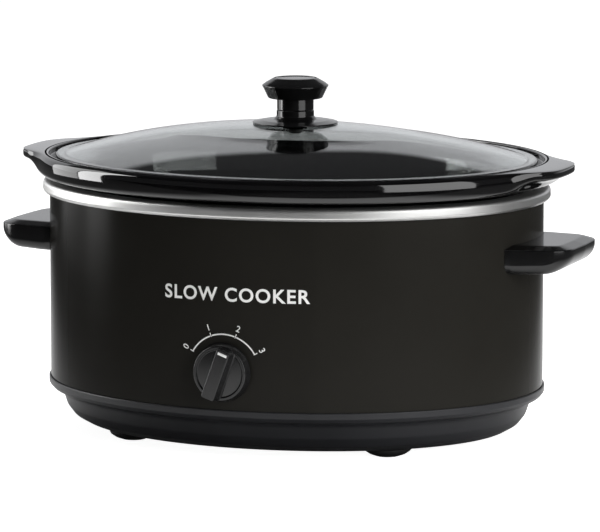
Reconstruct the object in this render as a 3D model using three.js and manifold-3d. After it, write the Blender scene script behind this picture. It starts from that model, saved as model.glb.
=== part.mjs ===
// An oval slow cooker: a heated housing, a lift-out stoneware crock, a glass lid and a rotary heat control.
// Units are millimetres, +Z is up, +X runs from handle to handle and the control knob faces -Y.
// Every oval is the outer wrap's oval moved in or out, so one offset places a wall all the way round.
import * as THREE from "three";
import { mergeVertices } from "three/addons/utils/BufferGeometryUtils.js";
import Module from "manifold-3d";

// ---- driving dimensions -------------------------------------------------------------------------
const GAP = 0.3; // left between pieces that touch
const WRAP_A = 185; // outer wrap, half length along X
const WRAP_B = 149; // outer wrap, half width along Y
const WRAP_T = 0.8;
const WRAP_Z = 35.5; // the ledge in the base tray that the wrap stands on
const RING_TOP = 184.6; // top of the heating well's rolled rim
const RING_OUT = 5; // how far the rolled rim stands out from the wrap
const RING_H = 9;
const WELL_T = 0.8;
const WELL_FLOOR = 66; // upper face of the well's floor
const WELL_MOUTH_IN = 14; // well wall inside the wrap's face, at the mouth
const WELL_FOOT_IN = 34; // and where the wall meets the floor's radius
const WELL_RADIUS = 20; // height of the radius between floor and wall
const TRAY_T = 2.5;
const TRAY_FLOOR = 7; // underside of the tray above the table
const TRAY_TOP = 39;
const TRAY_LIP_T = 1;
const TRAY_BAND_H = 5.5;
const TRAY_FOOT_IN = 25; // tray's flat floor inside the wrap's face
const FOOT_R = 18;
const FOOT_FLAT_R = 7.5;
const FOOT_IN_X = 87; // foot centre inside the wrap's end
const FOOT_IN_Y = 73; // and inside its front and rear
const FOOT_PEG_R = 3.2;
const CROCK_T = 7.5;
const CROCK_BASE_T = 9;
const CROCK_CLEAR = 3; // between the crock and the well wall
const CROCK_RIM_GAP = 2.9; // open gap between the rolled rim and the crock's rim
const CROCK_RIM_H = 17;
const CROCK_RIM_OUT = 7;
const CROCK_LAND = 6.5; // width of the rim's top outside the lid
const EAR_REACH = 23.5; // ear tip beyond the wrap
const EAR_HALF_W = 28;
const EAR_T = 6;
const LID_EDGE_GAP = 5; // between the lid's edge and the crock's rim
const LID_T = 4;
const LID_SINK = 0.5; // top of the lid's edge below the top of the crock
const LID_RISE = 24;
const KNOB_FLANGE_R = 31.3;
const KNOB_STEM_R = 13.4;
const KNOB_CAP_R = 24.5;
const KNOB_CAP_NECK_R = 20;
const KNOB_SHIELD_H = 9; // lower stem above the glass
const KNOB_STEM_H = 8.5;
const KNOB_CAP_H = 10;
const KNOB_CROWN = 5;
const INSERT_R = 15;
const SCREW_R = 2.5; // shank of the lid's screw
const HANDLE_REACH = 37; // handle tip beyond the wrap
const HANDLE_DROP = 33.6; // handle top below the top of the rolled rim
const HANDLE_ROOT_H = 21;
const HANDLE_TIP_H = 14;
const HANDLE_ROOT_W = 47; // half width at the wrap
const HANDLE_TIP_W = 38;
const HANDLE_SCREW_Y = 22;
const HANDLE_SCREW_R = 2;
const DIAL_Z = 66.5; // height of the control's axis
const DIAL_R = 21;
const DIAL_FACE_R = 18.8;
const DIAL_SKIRT_H = 7;
const DIAL_GRIP_W = 9.5;
const DIAL_GRIP_H = 15;
const DIAL_CLEAR = 1.4; // between the knob and the wrap
const DIAL_REST = THREE.MathUtils.degToRad(20); // where the pointer stands, clockwise from straight up
const SHAFT_R = 3;
const SHAFT_CLEAR = 0.3;
const SWITCH_W = 30;
const SWITCH_D = 17;
const SWITCH_H = 28;
const SWITCH_SCREW_X = 12;
const SWITCH_SCREW_R = 1.5;
const TAB_W = 6.3;
const TAB_T = 0.8;
const TAB_L = 8;
const BAND_T = 2.4;
const BAND_Z = 94;
const BAND_H = 44;
const BAND_SPLIT = 22; // gap in the heater band that its springs pull across
const WOOL_T = 5;
const SHIELD_T = 0.6;
const SHIELD_Z = 50;
const SHIELD_LIP = 8;
const SHIELD_IN = 50; // heat shield's edge inside the wrap's face
const EARTH_IN = 89; // earth screw inside the rear of the wrap
const STUD_R = 2.5;
const GLAND_R = 6.7;
const GLAND_BORE_R = 3.8;
const GLAND_Z = 56;
const BLOCK_IN = 53; // terminal block inside the rear of the wrap
const LEAD_R = 1.4;
const OVAL_STEPS = 48;
const ROUND_STEPS = 20;

// ---- heights and places that follow from them ---------------------------------------------------
const RING_Z = RING_TOP - RING_H;
const FOOT_X = WRAP_A - FOOT_IN_X;
const FOOT_Y = WRAP_B - FOOT_IN_Y;
const HANDLE_TIP_X = WRAP_A + HANDLE_REACH;
const HANDLE_TOP = RING_TOP - HANDLE_DROP;
const EAR_TIP_X = WRAP_A + EAR_REACH;
const CROCK_RIM_Z = RING_TOP + CROCK_RIM_GAP; // lower edge of the crock's rim
const CROCK_TOP = CROCK_RIM_Z + CROCK_RIM_H;
const LID_EDGE_Z = CROCK_TOP - LID_SINK;
const WRAP_FOOT = WRAP_Z + GAP;
const WRAP_TOP = RING_TOP - WELL_T - GAP;
const LID_R = WRAP_A + CROCK_RIM_OUT - CROCK_LAND - LID_EDGE_GAP; // lid, half length along X
const LID_APEX = LID_EDGE_Z + LID_RISE;
const LID_SEAT = LID_EDGE_Z - LID_T - GAP; // ledge inside the crock's rim
const CROCK_FOOT = WELL_FLOOR + GAP;
const INNER_FLOOR = TRAY_FLOOR + TRAY_T; // upper face of the tray's floor

// ---- materials ----------------------------------------------------------------------------------
const finish = (color, roughness, metalness = 0, more = {}) =>
  new THREE.MeshStandardMaterial({ color, roughness, metalness, ...more });
const blackEnamel = finish(0x1f1e1b, 0.35, 0.4);
const blackPlastic = finish(0x1b1b1c, 0.28);
const basePlastic = finish(0x2a2b2f, 0.4);
const brightSteel = finish(0xd8d9da, 0.28, 1);
const plainSteel = finish(0x9a9b9c, 0.4, 1);
const blackGlaze = finish(0x0f0f10, 0.08);
const clearGlass = finish(0xe4ecec, 0.03, 0, { transparent: true, opacity: 0.3 });
const footRubber = finish(0x151515, 0.8);
const whiteInk = finish(0xd9d9d6, 0.5);
const glassWool = finish(0xd6d1c2, 0.95);
const brass = finish(0xb99a55, 0.35, 1);
const leadSleeve = finish(0xe9e4d8, 0.7);
const phenolic = finish(0x3a2a20, 0.55);

// ---- building blocks ----------------------------------------------------------------------------
const wasm = await Module();
wasm.setup();

// A closed three.js geometry as a solid that can be joined and cut.
function solidOf(geometry) {
  const bare = new THREE.BufferGeometry();
  bare.setAttribute("position", geometry.getAttribute("position").clone());
  bare.setIndex(geometry.index);
  const merged = mergeVertices(bare.index ? bare.toNonIndexed() : bare, 1e-4);
  const index = merged.index.array;
  const whole = [];
  for (let i = 0; i < index.length; i += 3) {
    const [a, b, c] = [index[i], index[i + 1], index[i + 2]];
    if (a !== b && b !== c && c !== a) whole.push(a, b, c);
  }
  const vertProperties = Float32Array.from(merged.getAttribute("position").array);
  return new wasm.Manifold(
    new wasm.Mesh({ numProp: 3, vertProperties, triVerts: Uint32Array.from(whole) }),
  );
}

function geometryOf(solid) {
  const { vertProperties, triVerts } = solid.getMesh();
  const geometry = new THREE.BufferGeometry();
  geometry.setAttribute("position", new THREE.Float32BufferAttribute(vertProperties, 3));
  geometry.setIndex(Array.from(triVerts));
  geometry.computeVertexNormals();
  return geometry;
}

const cut = (geometry, ...tools) =>
  geometryOf(tools.reduce((left, tool) => left.subtract(solidOf(tool)), solidOf(geometry)));
const join = (geometry, ...others) =>
  geometryOf(others.reduce((whole, other) => whole.add(solidOf(other)), solidOf(geometry)));
const common = (geometry, other) => geometryOf(solidOf(geometry).intersect(solidOf(other)));

const at = (geometry, x, y, z) => geometry.clone().translate(x, y, z);
const pairs = (points) => points.map(([x, y]) => new THREE.Vector2(x, y));

// A round solid about Z from [radius, height] points that run up the outside from the axis to the axis.
const turned = (profile, steps = ROUND_STEPS) =>
  new THREE.LatheGeometry(pairs(profile), steps).rotateX(Math.PI / 2);
const rod = (radius, z0, z1, steps = ROUND_STEPS) =>
  turned([[0, z0], [radius, z0], [radius, z1], [0, z1]], steps);
// A rod that cuts a hole: its flats, and not its corners, lie at the radius.
const bore = (radius, z0, z1, steps = 12) =>
  rod(radius / Math.cos(Math.PI / steps), z0, z1, steps);
// A turned piece laid along Y: its upper end points to the front (-Y) or the rear.
const facingFront = (geometry) => geometry.rotateX(Math.PI / 2);
const facingRear = (geometry) => geometry.rotateX(-Math.PI / 2);

// Half width along Y of the oval whose half length is r. Near the axis the ovals shrink in proportion.
const CORE = 0.54 * WRAP_A;
const narrow = (r) => r - (WRAP_A - WRAP_B) * Math.min(1, r / CORE);

// An oval solid from [half length, height] points, in the same order as a turned one.
function oval(profile, steps = OVAL_STEPS) {
  const geometry = turned(profile, steps);
  const place = geometry.getAttribute("position");
  for (let i = 0; i < place.count; i += 1) {
    const r = Math.hypot(place.getX(i), place.getY(i));
    if (r > 0) place.setY(i, (place.getY(i) * narrow(r)) / r);
  }
  return geometry;
}

// Where the oval of half length r stands along X at a given y, and along Y at a given x.
const ovalX = (r, y) => r * Math.sqrt(1 - (y / narrow(r)) ** 2);
const ovalY = (r, x) => narrow(r) * Math.sqrt(1 - (x / r) ** 2);

// The closed outline of a sheet of one thickness whose middle follows an open path, solid side inwards.
function sheet(path, thickness) {
  const points = pairs(path);
  const side = (sign) =>
    points.map((point, i) => {
      const before = point.clone().sub(points[Math.max(i - 1, 0)]).normalize();
      const after = points[Math.min(i + 1, points.length - 1)].clone().sub(point).normalize();
      const along = before.clone().add(after).normalize();
      const straight = Math.max(before.length() * after.length() ? along.dot(after) : 1, 0.5);
      const reach = (sign * thickness) / 2 / straight;
      return [point.x + along.y * reach, point.y - along.x * reach];
    });
  const outer = side(1);
  const inner = side(-1).reverse();
  const onAxis = path[0][0] === 0;
  return onAxis ? [...outer, ...inner] : [...outer, ...inner, outer[0]];
}

// A flat outline in the plane of X and another axis, made solid.
const outline = (points) => new THREE.Shape(pairs(points));
const slab = (shape, depth, steps = 5) =>
  new THREE.ExtrudeGeometry(shape, { depth, bevelEnabled: false, curveSegments: steps });
const upright = (points, halfWidth) =>
  slab(outline(points), 2 * halfWidth).translate(0, 0, -halfWidth).rotateX(Math.PI / 2);
const block = (w, d, h) => new THREE.BoxGeometry(w, d, h);

// A corner-rounded outline: each point is [x, y, radius].
function rounded(points) {
  const shape = new THREE.Shape();
  const corners = points.map(([x, y, r]) => ({ p: new THREE.Vector2(x, y), r: r ?? 0 }));
  corners.forEach(({ p, r }, i) => {
    const last = corners.at(i - 1).p;
    const next = corners[(i + 1) % corners.length].p;
    const into = p.clone().add(last.clone().sub(p).setLength(r || 1e-3));
    const out = p.clone().add(next.clone().sub(p).setLength(r || 1e-3));
    if (i === 0) shape.moveTo(into.x, into.y);
    else shape.lineTo(into.x, into.y);
    if (r) shape.quadraticCurveTo(p.x, p.y, out.x, out.y);
    else shape.lineTo(out.x, out.y);
  });
  shape.closePath();
  return shape;
}

// A screw along +Z with the underside of its head at z = 0.
const screw = (shankR, length, headR = 1.9 * shankR, headH = 0.9 * shankR) =>
  turned([
    [0, -length], [shankR * 0.7, -length], [shankR, -length + shankR * 0.6], [shankR, 0],
    [headR, 0], [headR, headH * 0.5], [headR * 0.7, headH], [0, headH],
  ], 10);

// A round collar or washer about Z, and a hexagonal nut with a round hole.
const collar = (hole, outer, height, steps = ROUND_STEPS) =>
  turned([[hole, 0], [outer, 0], [outer, height], [hole, height], [hole, 0]], steps);
const nut = (hole, outer, height) => cut(rod(outer, 0, height, 6), bore(hole, -1, height + 1));

// A round lead through the given points.
function lead(points) {
  const path = new THREE.CatmullRomCurve3(points.map((p) => new THREE.Vector3(...p)));
  const ring = Array.from({ length: 6 }, (_, i) => (i * Math.PI) / 3);
  const section = outline(ring.map((t) => [LEAD_R * Math.cos(t), LEAD_R * Math.sin(t)]));
  return new THREE.ExtrudeGeometry(section, { extrudePath: path, steps: 3 * points.length });
}

const housing = new THREE.Group();
const crock = new THREE.Group();
const lid = new THREE.Group();
const dial = new THREE.Group();
function piece(group, name, geometry, material, x = 0, y = 0, z = 0) {
  const mesh = new THREE.Mesh(geometry, material);
  mesh.name = name;
  mesh.position.set(x, y, z);
  group.add(mesh);
  return mesh;
}

// ---- outer wrap ---------------------------------------------------------------------------------
const wrapInside = WRAP_A - WRAP_T;
const wrapFront = -narrow(WRAP_A);
const wrapRear = narrow(WRAP_A);
const handleScrewZ = HANDLE_TOP - HANDLE_ROOT_H / 2;
const holeClear = 0.5; // around a shank that passes through the wrap

function outerWrap() {
  const shell = oval([
    [wrapInside, WRAP_FOOT], [WRAP_A, WRAP_FOOT], [WRAP_A, WRAP_TOP],
    [wrapInside, WRAP_TOP], [wrapInside, WRAP_FOOT],
  ]);
  const through = 20;
  const alongX = (r, x, y, z) =>
    at(bore(r, -through, through).rotateY(Math.PI / 2), x, y, z);
  const alongY = (r, x, y, z) => at(facingRear(bore(r, -through, through)), x, y, z);
  const holes = [];
  for (const end of [-1, 1])
    for (const side of [-1, 1])
      holes.push(
        alongX(HANDLE_SCREW_R + holeClear, end * WRAP_A, side * HANDLE_SCREW_Y, handleScrewZ),
      );
  for (const side of [-1, 1])
    holes.push(
      alongY(SWITCH_SCREW_R + holeClear, side * SWITCH_SCREW_X, wrapFront, DIAL_Z),
    );
  holes.push(alongY(SHAFT_R + 2 * holeClear, 0, wrapFront, DIAL_Z));
  holes.push(alongY(GLAND_R + GAP, 0, wrapRear, GLAND_Z));
  return cut(shell, ...holes);
}
piece(housing, "outer_wrap", outerWrap(), blackEnamel);

// ---- heating well with its rolled rim -----------------------------------------------------------
const wellFootZ = WELL_FLOOR + WELL_RADIUS;
const wellMouthZ = RING_TOP - 8;
// Half length of the well wall's middle at a height between its foot and its mouth.
const wellWall = (z) =>
  WRAP_A -
  THREE.MathUtils.mapLinear(z, wellFootZ, wellMouthZ, WELL_FOOT_IN, WELL_MOUTH_IN);
const wellPath = [
  [0, WELL_FLOOR - WELL_T / 2],
  [WRAP_A - WELL_FOOT_IN - 26, WELL_FLOOR - WELL_T / 2],
  [WRAP_A - WELL_FOOT_IN - 9, WELL_FLOOR + WELL_RADIUS * 0.28],
  [wellWall(wellFootZ), wellFootZ],
  [wellWall(wellMouthZ), wellMouthZ],
  [WRAP_A - WELL_MOUTH_IN + 4, RING_TOP - WELL_T / 2],
  [WRAP_A + RING_OUT * 0.3, RING_TOP - WELL_T / 2],
  [WRAP_A + RING_OUT - 1.2, RING_TOP - 2],
  [WRAP_A + RING_OUT - WELL_T / 2, RING_TOP - RING_H / 2],
  [WRAP_A + RING_OUT * 0.55, RING_Z + 1],
  [WRAP_A + WELL_T / 2 + GAP, RING_Z + 0.4],
];
piece(housing, "heating_well", oval(sheet(wellPath, WELL_T)), brightSteel);

// ---- base tray and its feet ---------------------------------------------------------------------
const trayOut = WRAP_A + GAP + TRAY_LIP_T;
const lipInside = WRAP_A + GAP;
const bandFoot = TRAY_TOP - TRAY_BAND_H;
const trayFootR = WRAP_A - TRAY_FOOT_IN;
const footPeg = FOOT_PEG_R + GAP;
function baseTray() {
  const bowl = oval([
    [0, TRAY_FLOOR], [trayFootR, TRAY_FLOOR], [trayFootR + 8, TRAY_FLOOR + 4.5],
    [trayFootR + 13, TRAY_FLOOR + 11], [trayFootR + 16, bandFoot - 5],
    [trayOut - 2, bandFoot - 1.5], [trayOut, bandFoot + 1], [trayOut, TRAY_TOP - 0.5],
    [lipInside, TRAY_TOP], [lipInside, WRAP_Z], [lipInside - 2, WRAP_Z],
    [lipInside - 2, bandFoot - 0.5],
    [trayFootR + 16 - TRAY_T, bandFoot - 4], [trayFootR + 12 - TRAY_T, INNER_FLOOR + 8],
    [trayFootR + 6 - TRAY_T, INNER_FLOOR + 1.5], [trayFootR - 4, INNER_FLOOR],
    [0, INNER_FLOOR],
  ]);
  const holes = [bore(STUD_R + holeClear, TRAY_FLOOR - 1, INNER_FLOOR + 1)];
  for (const x of [-FOOT_X, FOOT_X])
    for (const y of [-FOOT_Y, FOOT_Y])
      holes.push(at(bore(footPeg, TRAY_FLOOR - 1, INNER_FLOOR + 1), x, y, 0));
  return cut(bowl, ...holes);
}
piece(housing, "base_tray", baseTray(), basePlastic);

const footTop = TRAY_FLOOR - GAP;
const footProfile = [
  [0, 0], [FOOT_FLAT_R, 0], [FOOT_R * 0.74, footTop * 0.26], [FOOT_R * 0.94, footTop * 0.62],
  [FOOT_R, footTop], [FOOT_PEG_R, footTop], [FOOT_PEG_R, INNER_FLOOR + GAP],
  [FOOT_PEG_R + 1.4, INNER_FLOOR + GAP], [FOOT_PEG_R * 0.7, INNER_FLOOR + 4], [0, INNER_FLOOR + 4],
];
for (const [end, x] of [["left", -FOOT_X], ["right", FOOT_X]])
  for (const [side, y] of [["front", -FOOT_Y], ["rear", FOOT_Y]])
    piece(housing, `foot_${side}_${end}`, turned(footProfile, 16), footRubber, x, y, 0);

// ---- handles and their screws -------------------------------------------------------------------
const handleReach = HANDLE_TIP_X - WRAP_A;
const handleSide = [
  [WRAP_A - 30, HANDLE_TOP], [HANDLE_TIP_X - 2.5, HANDLE_TOP], [HANDLE_TIP_X, HANDLE_TOP - 2.5],
  [HANDLE_TIP_X, HANDLE_TOP - HANDLE_TIP_H * 0.6],
  [HANDLE_TIP_X - 4, HANDLE_TOP - HANDLE_TIP_H],
  [HANDLE_TIP_X - handleReach * 0.4, HANDLE_TOP - HANDLE_ROOT_H * 0.92],
  [WRAP_A, HANDLE_TOP - HANDLE_ROOT_H], [WRAP_A - 30, HANDLE_TOP - HANDLE_ROOT_H],
];
const handlePlan = rounded([
  [WRAP_A - 30, -HANDLE_ROOT_W], [WRAP_A - 5, -HANDLE_ROOT_W],
  [HANDLE_TIP_X - 2, -HANDLE_TIP_W - 3, 15], [HANDLE_TIP_X, 0],
  [HANDLE_TIP_X - 2, HANDLE_TIP_W + 3, 15], [WRAP_A - 5, HANDLE_ROOT_W],
  [WRAP_A - 30, HANDLE_ROOT_W],
]);
const screwSink = 14; // how deep the handle's screw goes
function handle() {
  const lug = common(
    upright(handleSide, HANDLE_ROOT_W + 1),
    at(slab(handlePlan, HANDLE_ROOT_H + 4), 0, 0, HANDLE_TOP - HANDLE_ROOT_H - 2),
  );
  const wrapCore = oval([
    [0, 0], [WRAP_A + GAP, 0], [WRAP_A + GAP, WRAP_TOP], [0, WRAP_TOP],
  ]);
  const holes = [-1, 1].map((side) => {
    const x = ovalX(WRAP_A, HANDLE_SCREW_Y);
    const hole = bore(HANDLE_SCREW_R + GAP, -4, screwSink + 1).rotateY(Math.PI / 2);
    return at(hole, x, side * HANDLE_SCREW_Y, handleScrewZ);
  });
  return cut(lug, wrapCore, ...holes);
}
const handleScrewHead = 1.9 * HANDLE_SCREW_R;
const screwFace = ovalX(wrapInside, HANDLE_SCREW_Y + handleScrewHead) - 2 * GAP;
for (const [end, turn] of [["right", 0], ["left", Math.PI]]) {
  piece(housing, `handle_${end}`, handle(), blackPlastic).rotation.z = turn;
  for (const [side, y] of [["front", -1], ["rear", 1]]) {
    const sign = end === "right" ? 1 : -1;
    const shank = ovalX(WRAP_A, HANDLE_SCREW_Y) - screwFace + screwSink - 1;
    const mesh = piece(
      housing, `handle_screw_${end}_${side}`, screw(HANDLE_SCREW_R, shank), plainSteel,
      sign * screwFace, y * HANDLE_SCREW_Y, handleScrewZ,
    );
    mesh.rotation.y = (-sign * Math.PI) / 2;
  }
}

// ---- heater band, its insulation and springs ----------------------------------------------------
// A band of one thickness that lies a given distance outside the well wall, split at the rear.
function wellBand(clear, thickness, z0, z1, split) {
  const middle = WELL_T / 2 + clear + thickness / 2;
  const ring = oval(sheet([[wellWall(z0) + middle, z0], [wellWall(z1) + middle, z1]], thickness));
  return cut(ring, at(block(split, 60, z1 - z0 + 20), 0, narrow(WRAP_A) - 20, (z0 + z1) / 2));
}
const bandTop = BAND_Z + BAND_H;
piece(housing, "heater_band", wellBand(2 * GAP, BAND_T, BAND_Z, bandTop, BAND_SPLIT), plainSteel);
const woolMargin = 3; // how far the insulation reaches past the band
const woolClear = 4 * GAP + BAND_T;
piece(
  housing, "band_insulation",
  wellBand(woolClear, WOOL_T, BAND_Z - woolMargin, bandTop + woolMargin, BAND_SPLIT + 16),
  glassWool,
);
// Each spring spans the split between the two ends of the band.
const springR = 2.4;
for (const [level, share] of [["lower", 0.25], ["upper", 0.75]]) {
  const z = BAND_Z + BAND_H * share;
  const y = narrow(wellWall(z + springR) + WELL_T / 2) + 2 * GAP + springR;
  const half = BAND_SPLIT / 2 - GAP;
  const coil = [[0, -half], [1, -half], [1, -half + 2]];
  for (let i = 0; i < 4; i += 1) {
    const from = -half + 2 + (i * (2 * half - 4)) / 4;
    coil.push([springR, from + 0.5], [springR, from + 3.2], [springR - 0.8, from + 3.7]);
  }
  coil.push([1, half - 2], [1, half], [0, half]);
  piece(housing, `band_spring_${level}`, turned(coil, 6).rotateY(Math.PI / 2), plainSteel, 0, y, z);
}
// Three tabs on the band take the leads: one end of each of its two windings and their common end.
const tabY = (x, z) => ovalY(wellWall(z) + WELL_T / 2 + GAP + BAND_T + GAP, x) + GAP;
const bandTabZ = BAND_Z - woolMargin - TAB_L / 2 - 1;
const bandTabs = { low: -26, high: 26, common: 40 };
for (const [use, x] of Object.entries(bandTabs))
  piece(
    housing, `band_tab_${use}`, block(TAB_W, TAB_T, TAB_L), brass,
    x, tabY(x, bandTabZ) + 2, bandTabZ,
  );

// ---- heat shield, thermal fuse and centre stud --------------------------------------------------
const shieldPath = [
  [0, SHIELD_Z], [WRAP_A - SHIELD_IN - 10, SHIELD_Z],
  [WRAP_A - SHIELD_IN, SHIELD_Z + SHIELD_LIP],
];
const earthX = 40;
const earthY = WRAP_B - EARTH_IN;
const shieldHoles = [
  bore(STUD_R + holeClear, SHIELD_Z - 5, SHIELD_Z + 5),
  at(bore(SWITCH_SCREW_R + holeClear, SHIELD_Z - 5, SHIELD_Z + 5), earthX, earthY, 0),
];
piece(
  housing, "heat_shield", cut(oval(sheet(shieldPath, SHIELD_T)), ...shieldHoles), plainSteel,
);
const nutH = 3;
const washerH = 1;
const studTop = WELL_FLOOR - WELL_T - GAP;
const studFoot = TRAY_FLOOR - GAP - washerH - GAP - nutH;
piece(
  housing, "centre_stud",
  turned([
    [0, studFoot], [STUD_R, studFoot], [STUD_R, studTop - 2], [3 * STUD_R, studTop - 2],
    [3 * STUD_R, studTop], [0, studTop],
  ], 16), plainSteel,
);
piece(
  housing, "centre_washer", collar(STUD_R + GAP, 8, washerH), plainSteel,
  0, 0, TRAY_FLOOR - GAP - washerH,
);
piece(housing, "centre_nut", nut(STUD_R + GAP, 4.9, nutH), plainSteel, 0, 0, studFoot);
piece(
  housing, "shield_spacer",
  collar(STUD_R + GAP, 4.5, SHIELD_Z - SHIELD_T / 2 - INNER_FLOOR - 2 * GAP, 14), plainSteel,
  0, 0, INNER_FLOOR + GAP,
);
// The earth screw holds the earth tag against the heat shield's underside.
const tagZ = SHIELD_Z - SHIELD_T / 2 - GAP - TAB_T;
piece(
  housing, "earth_tag",
  cut(
    slab(rounded([[-5, -5, 4], [16, -3], [16, 3], [-5, 5, 4]]), TAB_T),
    bore(SWITCH_SCREW_R + GAP, -2, 4),
  ), brass, earthX, earthY, tagZ,
);
piece(
  housing, "earth_screw", screw(SWITCH_SCREW_R, 7).rotateX(Math.PI), plainSteel,
  earthX, earthY, tagZ - GAP,
);
// The fuse lies against the underside of the well, in a strap.
const fuseR = 2.2;
const fuseL = 14;
const fuseZ = WELL_FLOOR - WELL_T - GAP - fuseR;
const fuseX = 70;
piece(
  housing, "thermal_fuse",
  turned([
    [0, 0], [fuseR * 0.6, 0], [fuseR, 1.5], [fuseR, fuseL - 1.5], [fuseR * 0.6, fuseL], [0, fuseL],
  ], 12).rotateX(Math.PI / 2).translate(0, fuseL / 2, 0), plainSteel, fuseX, 0, fuseZ,
);
const strapIn = fuseR + GAP;
const strap = outline([
  [-12, 0], [-strapIn - 1, 0], [-strapIn - 1, -2 * fuseR - 1], [strapIn + 1, -2 * fuseR - 1],
  [strapIn + 1, 0], [12, 0], [12, -1], [strapIn + 2, -1], [strapIn + 2, -2 * fuseR - 2],
  [-strapIn - 2, -2 * fuseR - 2], [-strapIn - 2, -1], [-12, -1],
]);
piece(
  housing, "fuse_strap", slab(strap, 6).rotateX(Math.PI / 2).translate(0, 3, 0), plainSteel,
  fuseX, 0, WELL_FLOOR - WELL_T - GAP,
);

// ---- rotary switch ------------------------------------------------------------------------------
const switchFace = -ovalY(wrapInside, SWITCH_W / 2) + 2 * GAP;
const switchBack = switchFace + SWITCH_D;
function switchBody() {
  const body = at(block(SWITCH_W, SWITCH_D, SWITCH_H), 0, SWITCH_D / 2, 0);
  const shaftHole = facingRear(bore(SHAFT_R + SHAFT_CLEAR, -1, SWITCH_D - 3, 16));
  const screwHoles = [-1, 1].map((side) =>
    at(facingRear(bore(SWITCH_SCREW_R + GAP, -1, 9)), side * SWITCH_SCREW_X, 0, 0),
  );
  const slots = tabPlaces.map(([x, z]) =>
    at(block(TAB_W + 2 * GAP, 3, TAB_T + 2 * GAP), x, SWITCH_D - 1.5 + GAP, z),
  );
  return cut(body, shaftHole, ...screwHoles, ...slots);
}
const tabPlaces = [[-8, -9], [8, -9], [0, 9]];
piece(housing, "rotary_switch", switchBody(), phenolic, 0, switchFace, DIAL_Z);
for (const [i, use] of ["low", "high", "line"].entries()) {
  const [x, z] = tabPlaces[i];
  piece(
    housing, `switch_tab_${use}`, block(TAB_W, TAB_L, TAB_T), brass,
    x, switchBack - 2 + TAB_L / 2, DIAL_Z + z,
  );
}
for (const [side, sign] of [["left", -1], ["right", 1]]) {
  const x = sign * SWITCH_SCREW_X;
  const face = -ovalY(WRAP_A, 0) - GAP;
  piece(
    housing, `switch_screw_${side}`, facingFront(screw(SWITCH_SCREW_R, 9, 2.8, 0.6)), plainSteel,
    x, face, DIAL_Z,
  );
}

// ---- cord gland, terminal block and internal leads ----------------------------------------------
// A moulded gland is clamped in the rear of the wrap by its nut and holds the supply lead's bore.
const glandOut = narrow(WRAP_A) + GAP;
const glandIn = ovalY(wrapInside, GLAND_R + 5) - 2 * GAP;
piece(
  housing, "cord_gland",
  facingRear(turned([
    [GLAND_BORE_R, -16], [GLAND_R, -16], [GLAND_R, 0], [GLAND_R + 3, 0], [GLAND_R + 3, 1.5],
    [GLAND_R, 3.5], [GLAND_BORE_R, 3.5], [GLAND_BORE_R, -16],
  ])), blackPlastic, 0, glandOut, GLAND_Z,
);
piece(
  housing, "gland_nut", facingFront(nut(GLAND_R + GAP, GLAND_R + 5, 5)), blackPlastic,
  0, glandIn, GLAND_Z,
);
const blockY = WRAP_B - BLOCK_IN;
const blockZ = INNER_FLOOR + GAP;
piece(
  housing, "terminal_block",
  cut(at(block(34, 14, 12), 0, 0, 6), bore(SWITCH_SCREW_R + GAP, -1, 13)), phenolic,
  0, blockY, blockZ,
);
piece(
  housing, "terminal_screw", screw(SWITCH_SCREW_R, 10), plainSteel, 0, blockY, blockZ + 12 + GAP,
);
// Leads leave the terminal block, run over the tray's floor and rise to the tabs.
const floorRun = INNER_FLOOR + LEAD_R + 5;
const switchTab = switchBack - 2 + TAB_L + 2 * GAP + LEAD_R;
const underTab = bandTabZ - TAB_L / 2 - 2 * GAP;
const blockFront = blockY - 7 - 2 * GAP;
const besideShield = ovalY(WRAP_A - SHIELD_IN, 30) + 14;
const fuseEnd = fuseL / 2 + 2 * GAP;
const underShield = SHIELD_Z - SHIELD_T / 2 - LEAD_R - 2 * GAP;
const fromRear = (back) => blockFront - back;
const fromFront = (back) => switchTab + back;
const fromBlock = (x) => [[x, blockFront, blockZ + 6], [x, fromRear(5), blockZ + 6]];
const toBand = (use) => {
  const [x, y] = [bandTabs[use], tabY(bandTabs[use], bandTabZ) + 2];
  return [[x, y, underTab - 6], [x, y, underTab]];
};
const roundShield = WRAP_A - SHIELD_IN + 6; // a lead passes the shield's edge at this half length
const leads = {
  lead_line: [
    ...fromBlock(-12), [-26, fromRear(48), floorRun], [-26, fromFront(67), floorRun],
    [-10, fromFront(18), 30], [0, fromFront(1), 62], [0, switchTab, DIAL_Z + 8],
  ],
  lead_low: [
    [-8, switchTab, DIAL_Z - 9], [-12, fromFront(6), 40], [-50, fromFront(28), floorRun + 2],
    [-66, 0, floorRun], [-52, fromRear(4), floorRun], [-34, besideShield, 44], ...toBand("low"),
  ],
  lead_high: [
    [8, switchTab, DIAL_Z - 9], [12, fromFront(6), 40], [50, fromFront(28), floorRun + 2],
    [66, 0, floorRun], [52, fromRear(4), floorRun], [32, besideShield, 44], ...toBand("high"),
  ],
  lead_common: [
    [fuseX, fuseEnd, fuseZ], [fuseX, fuseEnd + 6, fuseZ], [60, fromRear(18), 60],
    [50, fromRear(-8), 64], ...toBand("common"),
  ],
  lead_neutral: [
    ...fromBlock(12), [30, fromRear(48), floorRun + 6], [WRAP_A - 85, 30, 26],
    [WRAP_A - 45, -10, 40], [ovalX(roundShield, -38), -38, 62], [100, -36, 61],
    [fuseX, -fuseEnd - 6, fuseZ], [fuseX, -fuseEnd, fuseZ],
  ],
  lead_earth: [
    ...fromBlock(4), [24, fromRear(16), 34], [earthX + 24, earthY, 44],
    [earthX + 20, earthY, underShield], [earthX + 16 + GAP, earthY, underShield],
  ],
};
for (const [name, points] of Object.entries(leads)) piece(housing, name, lead(points), leadSleeve);

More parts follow.
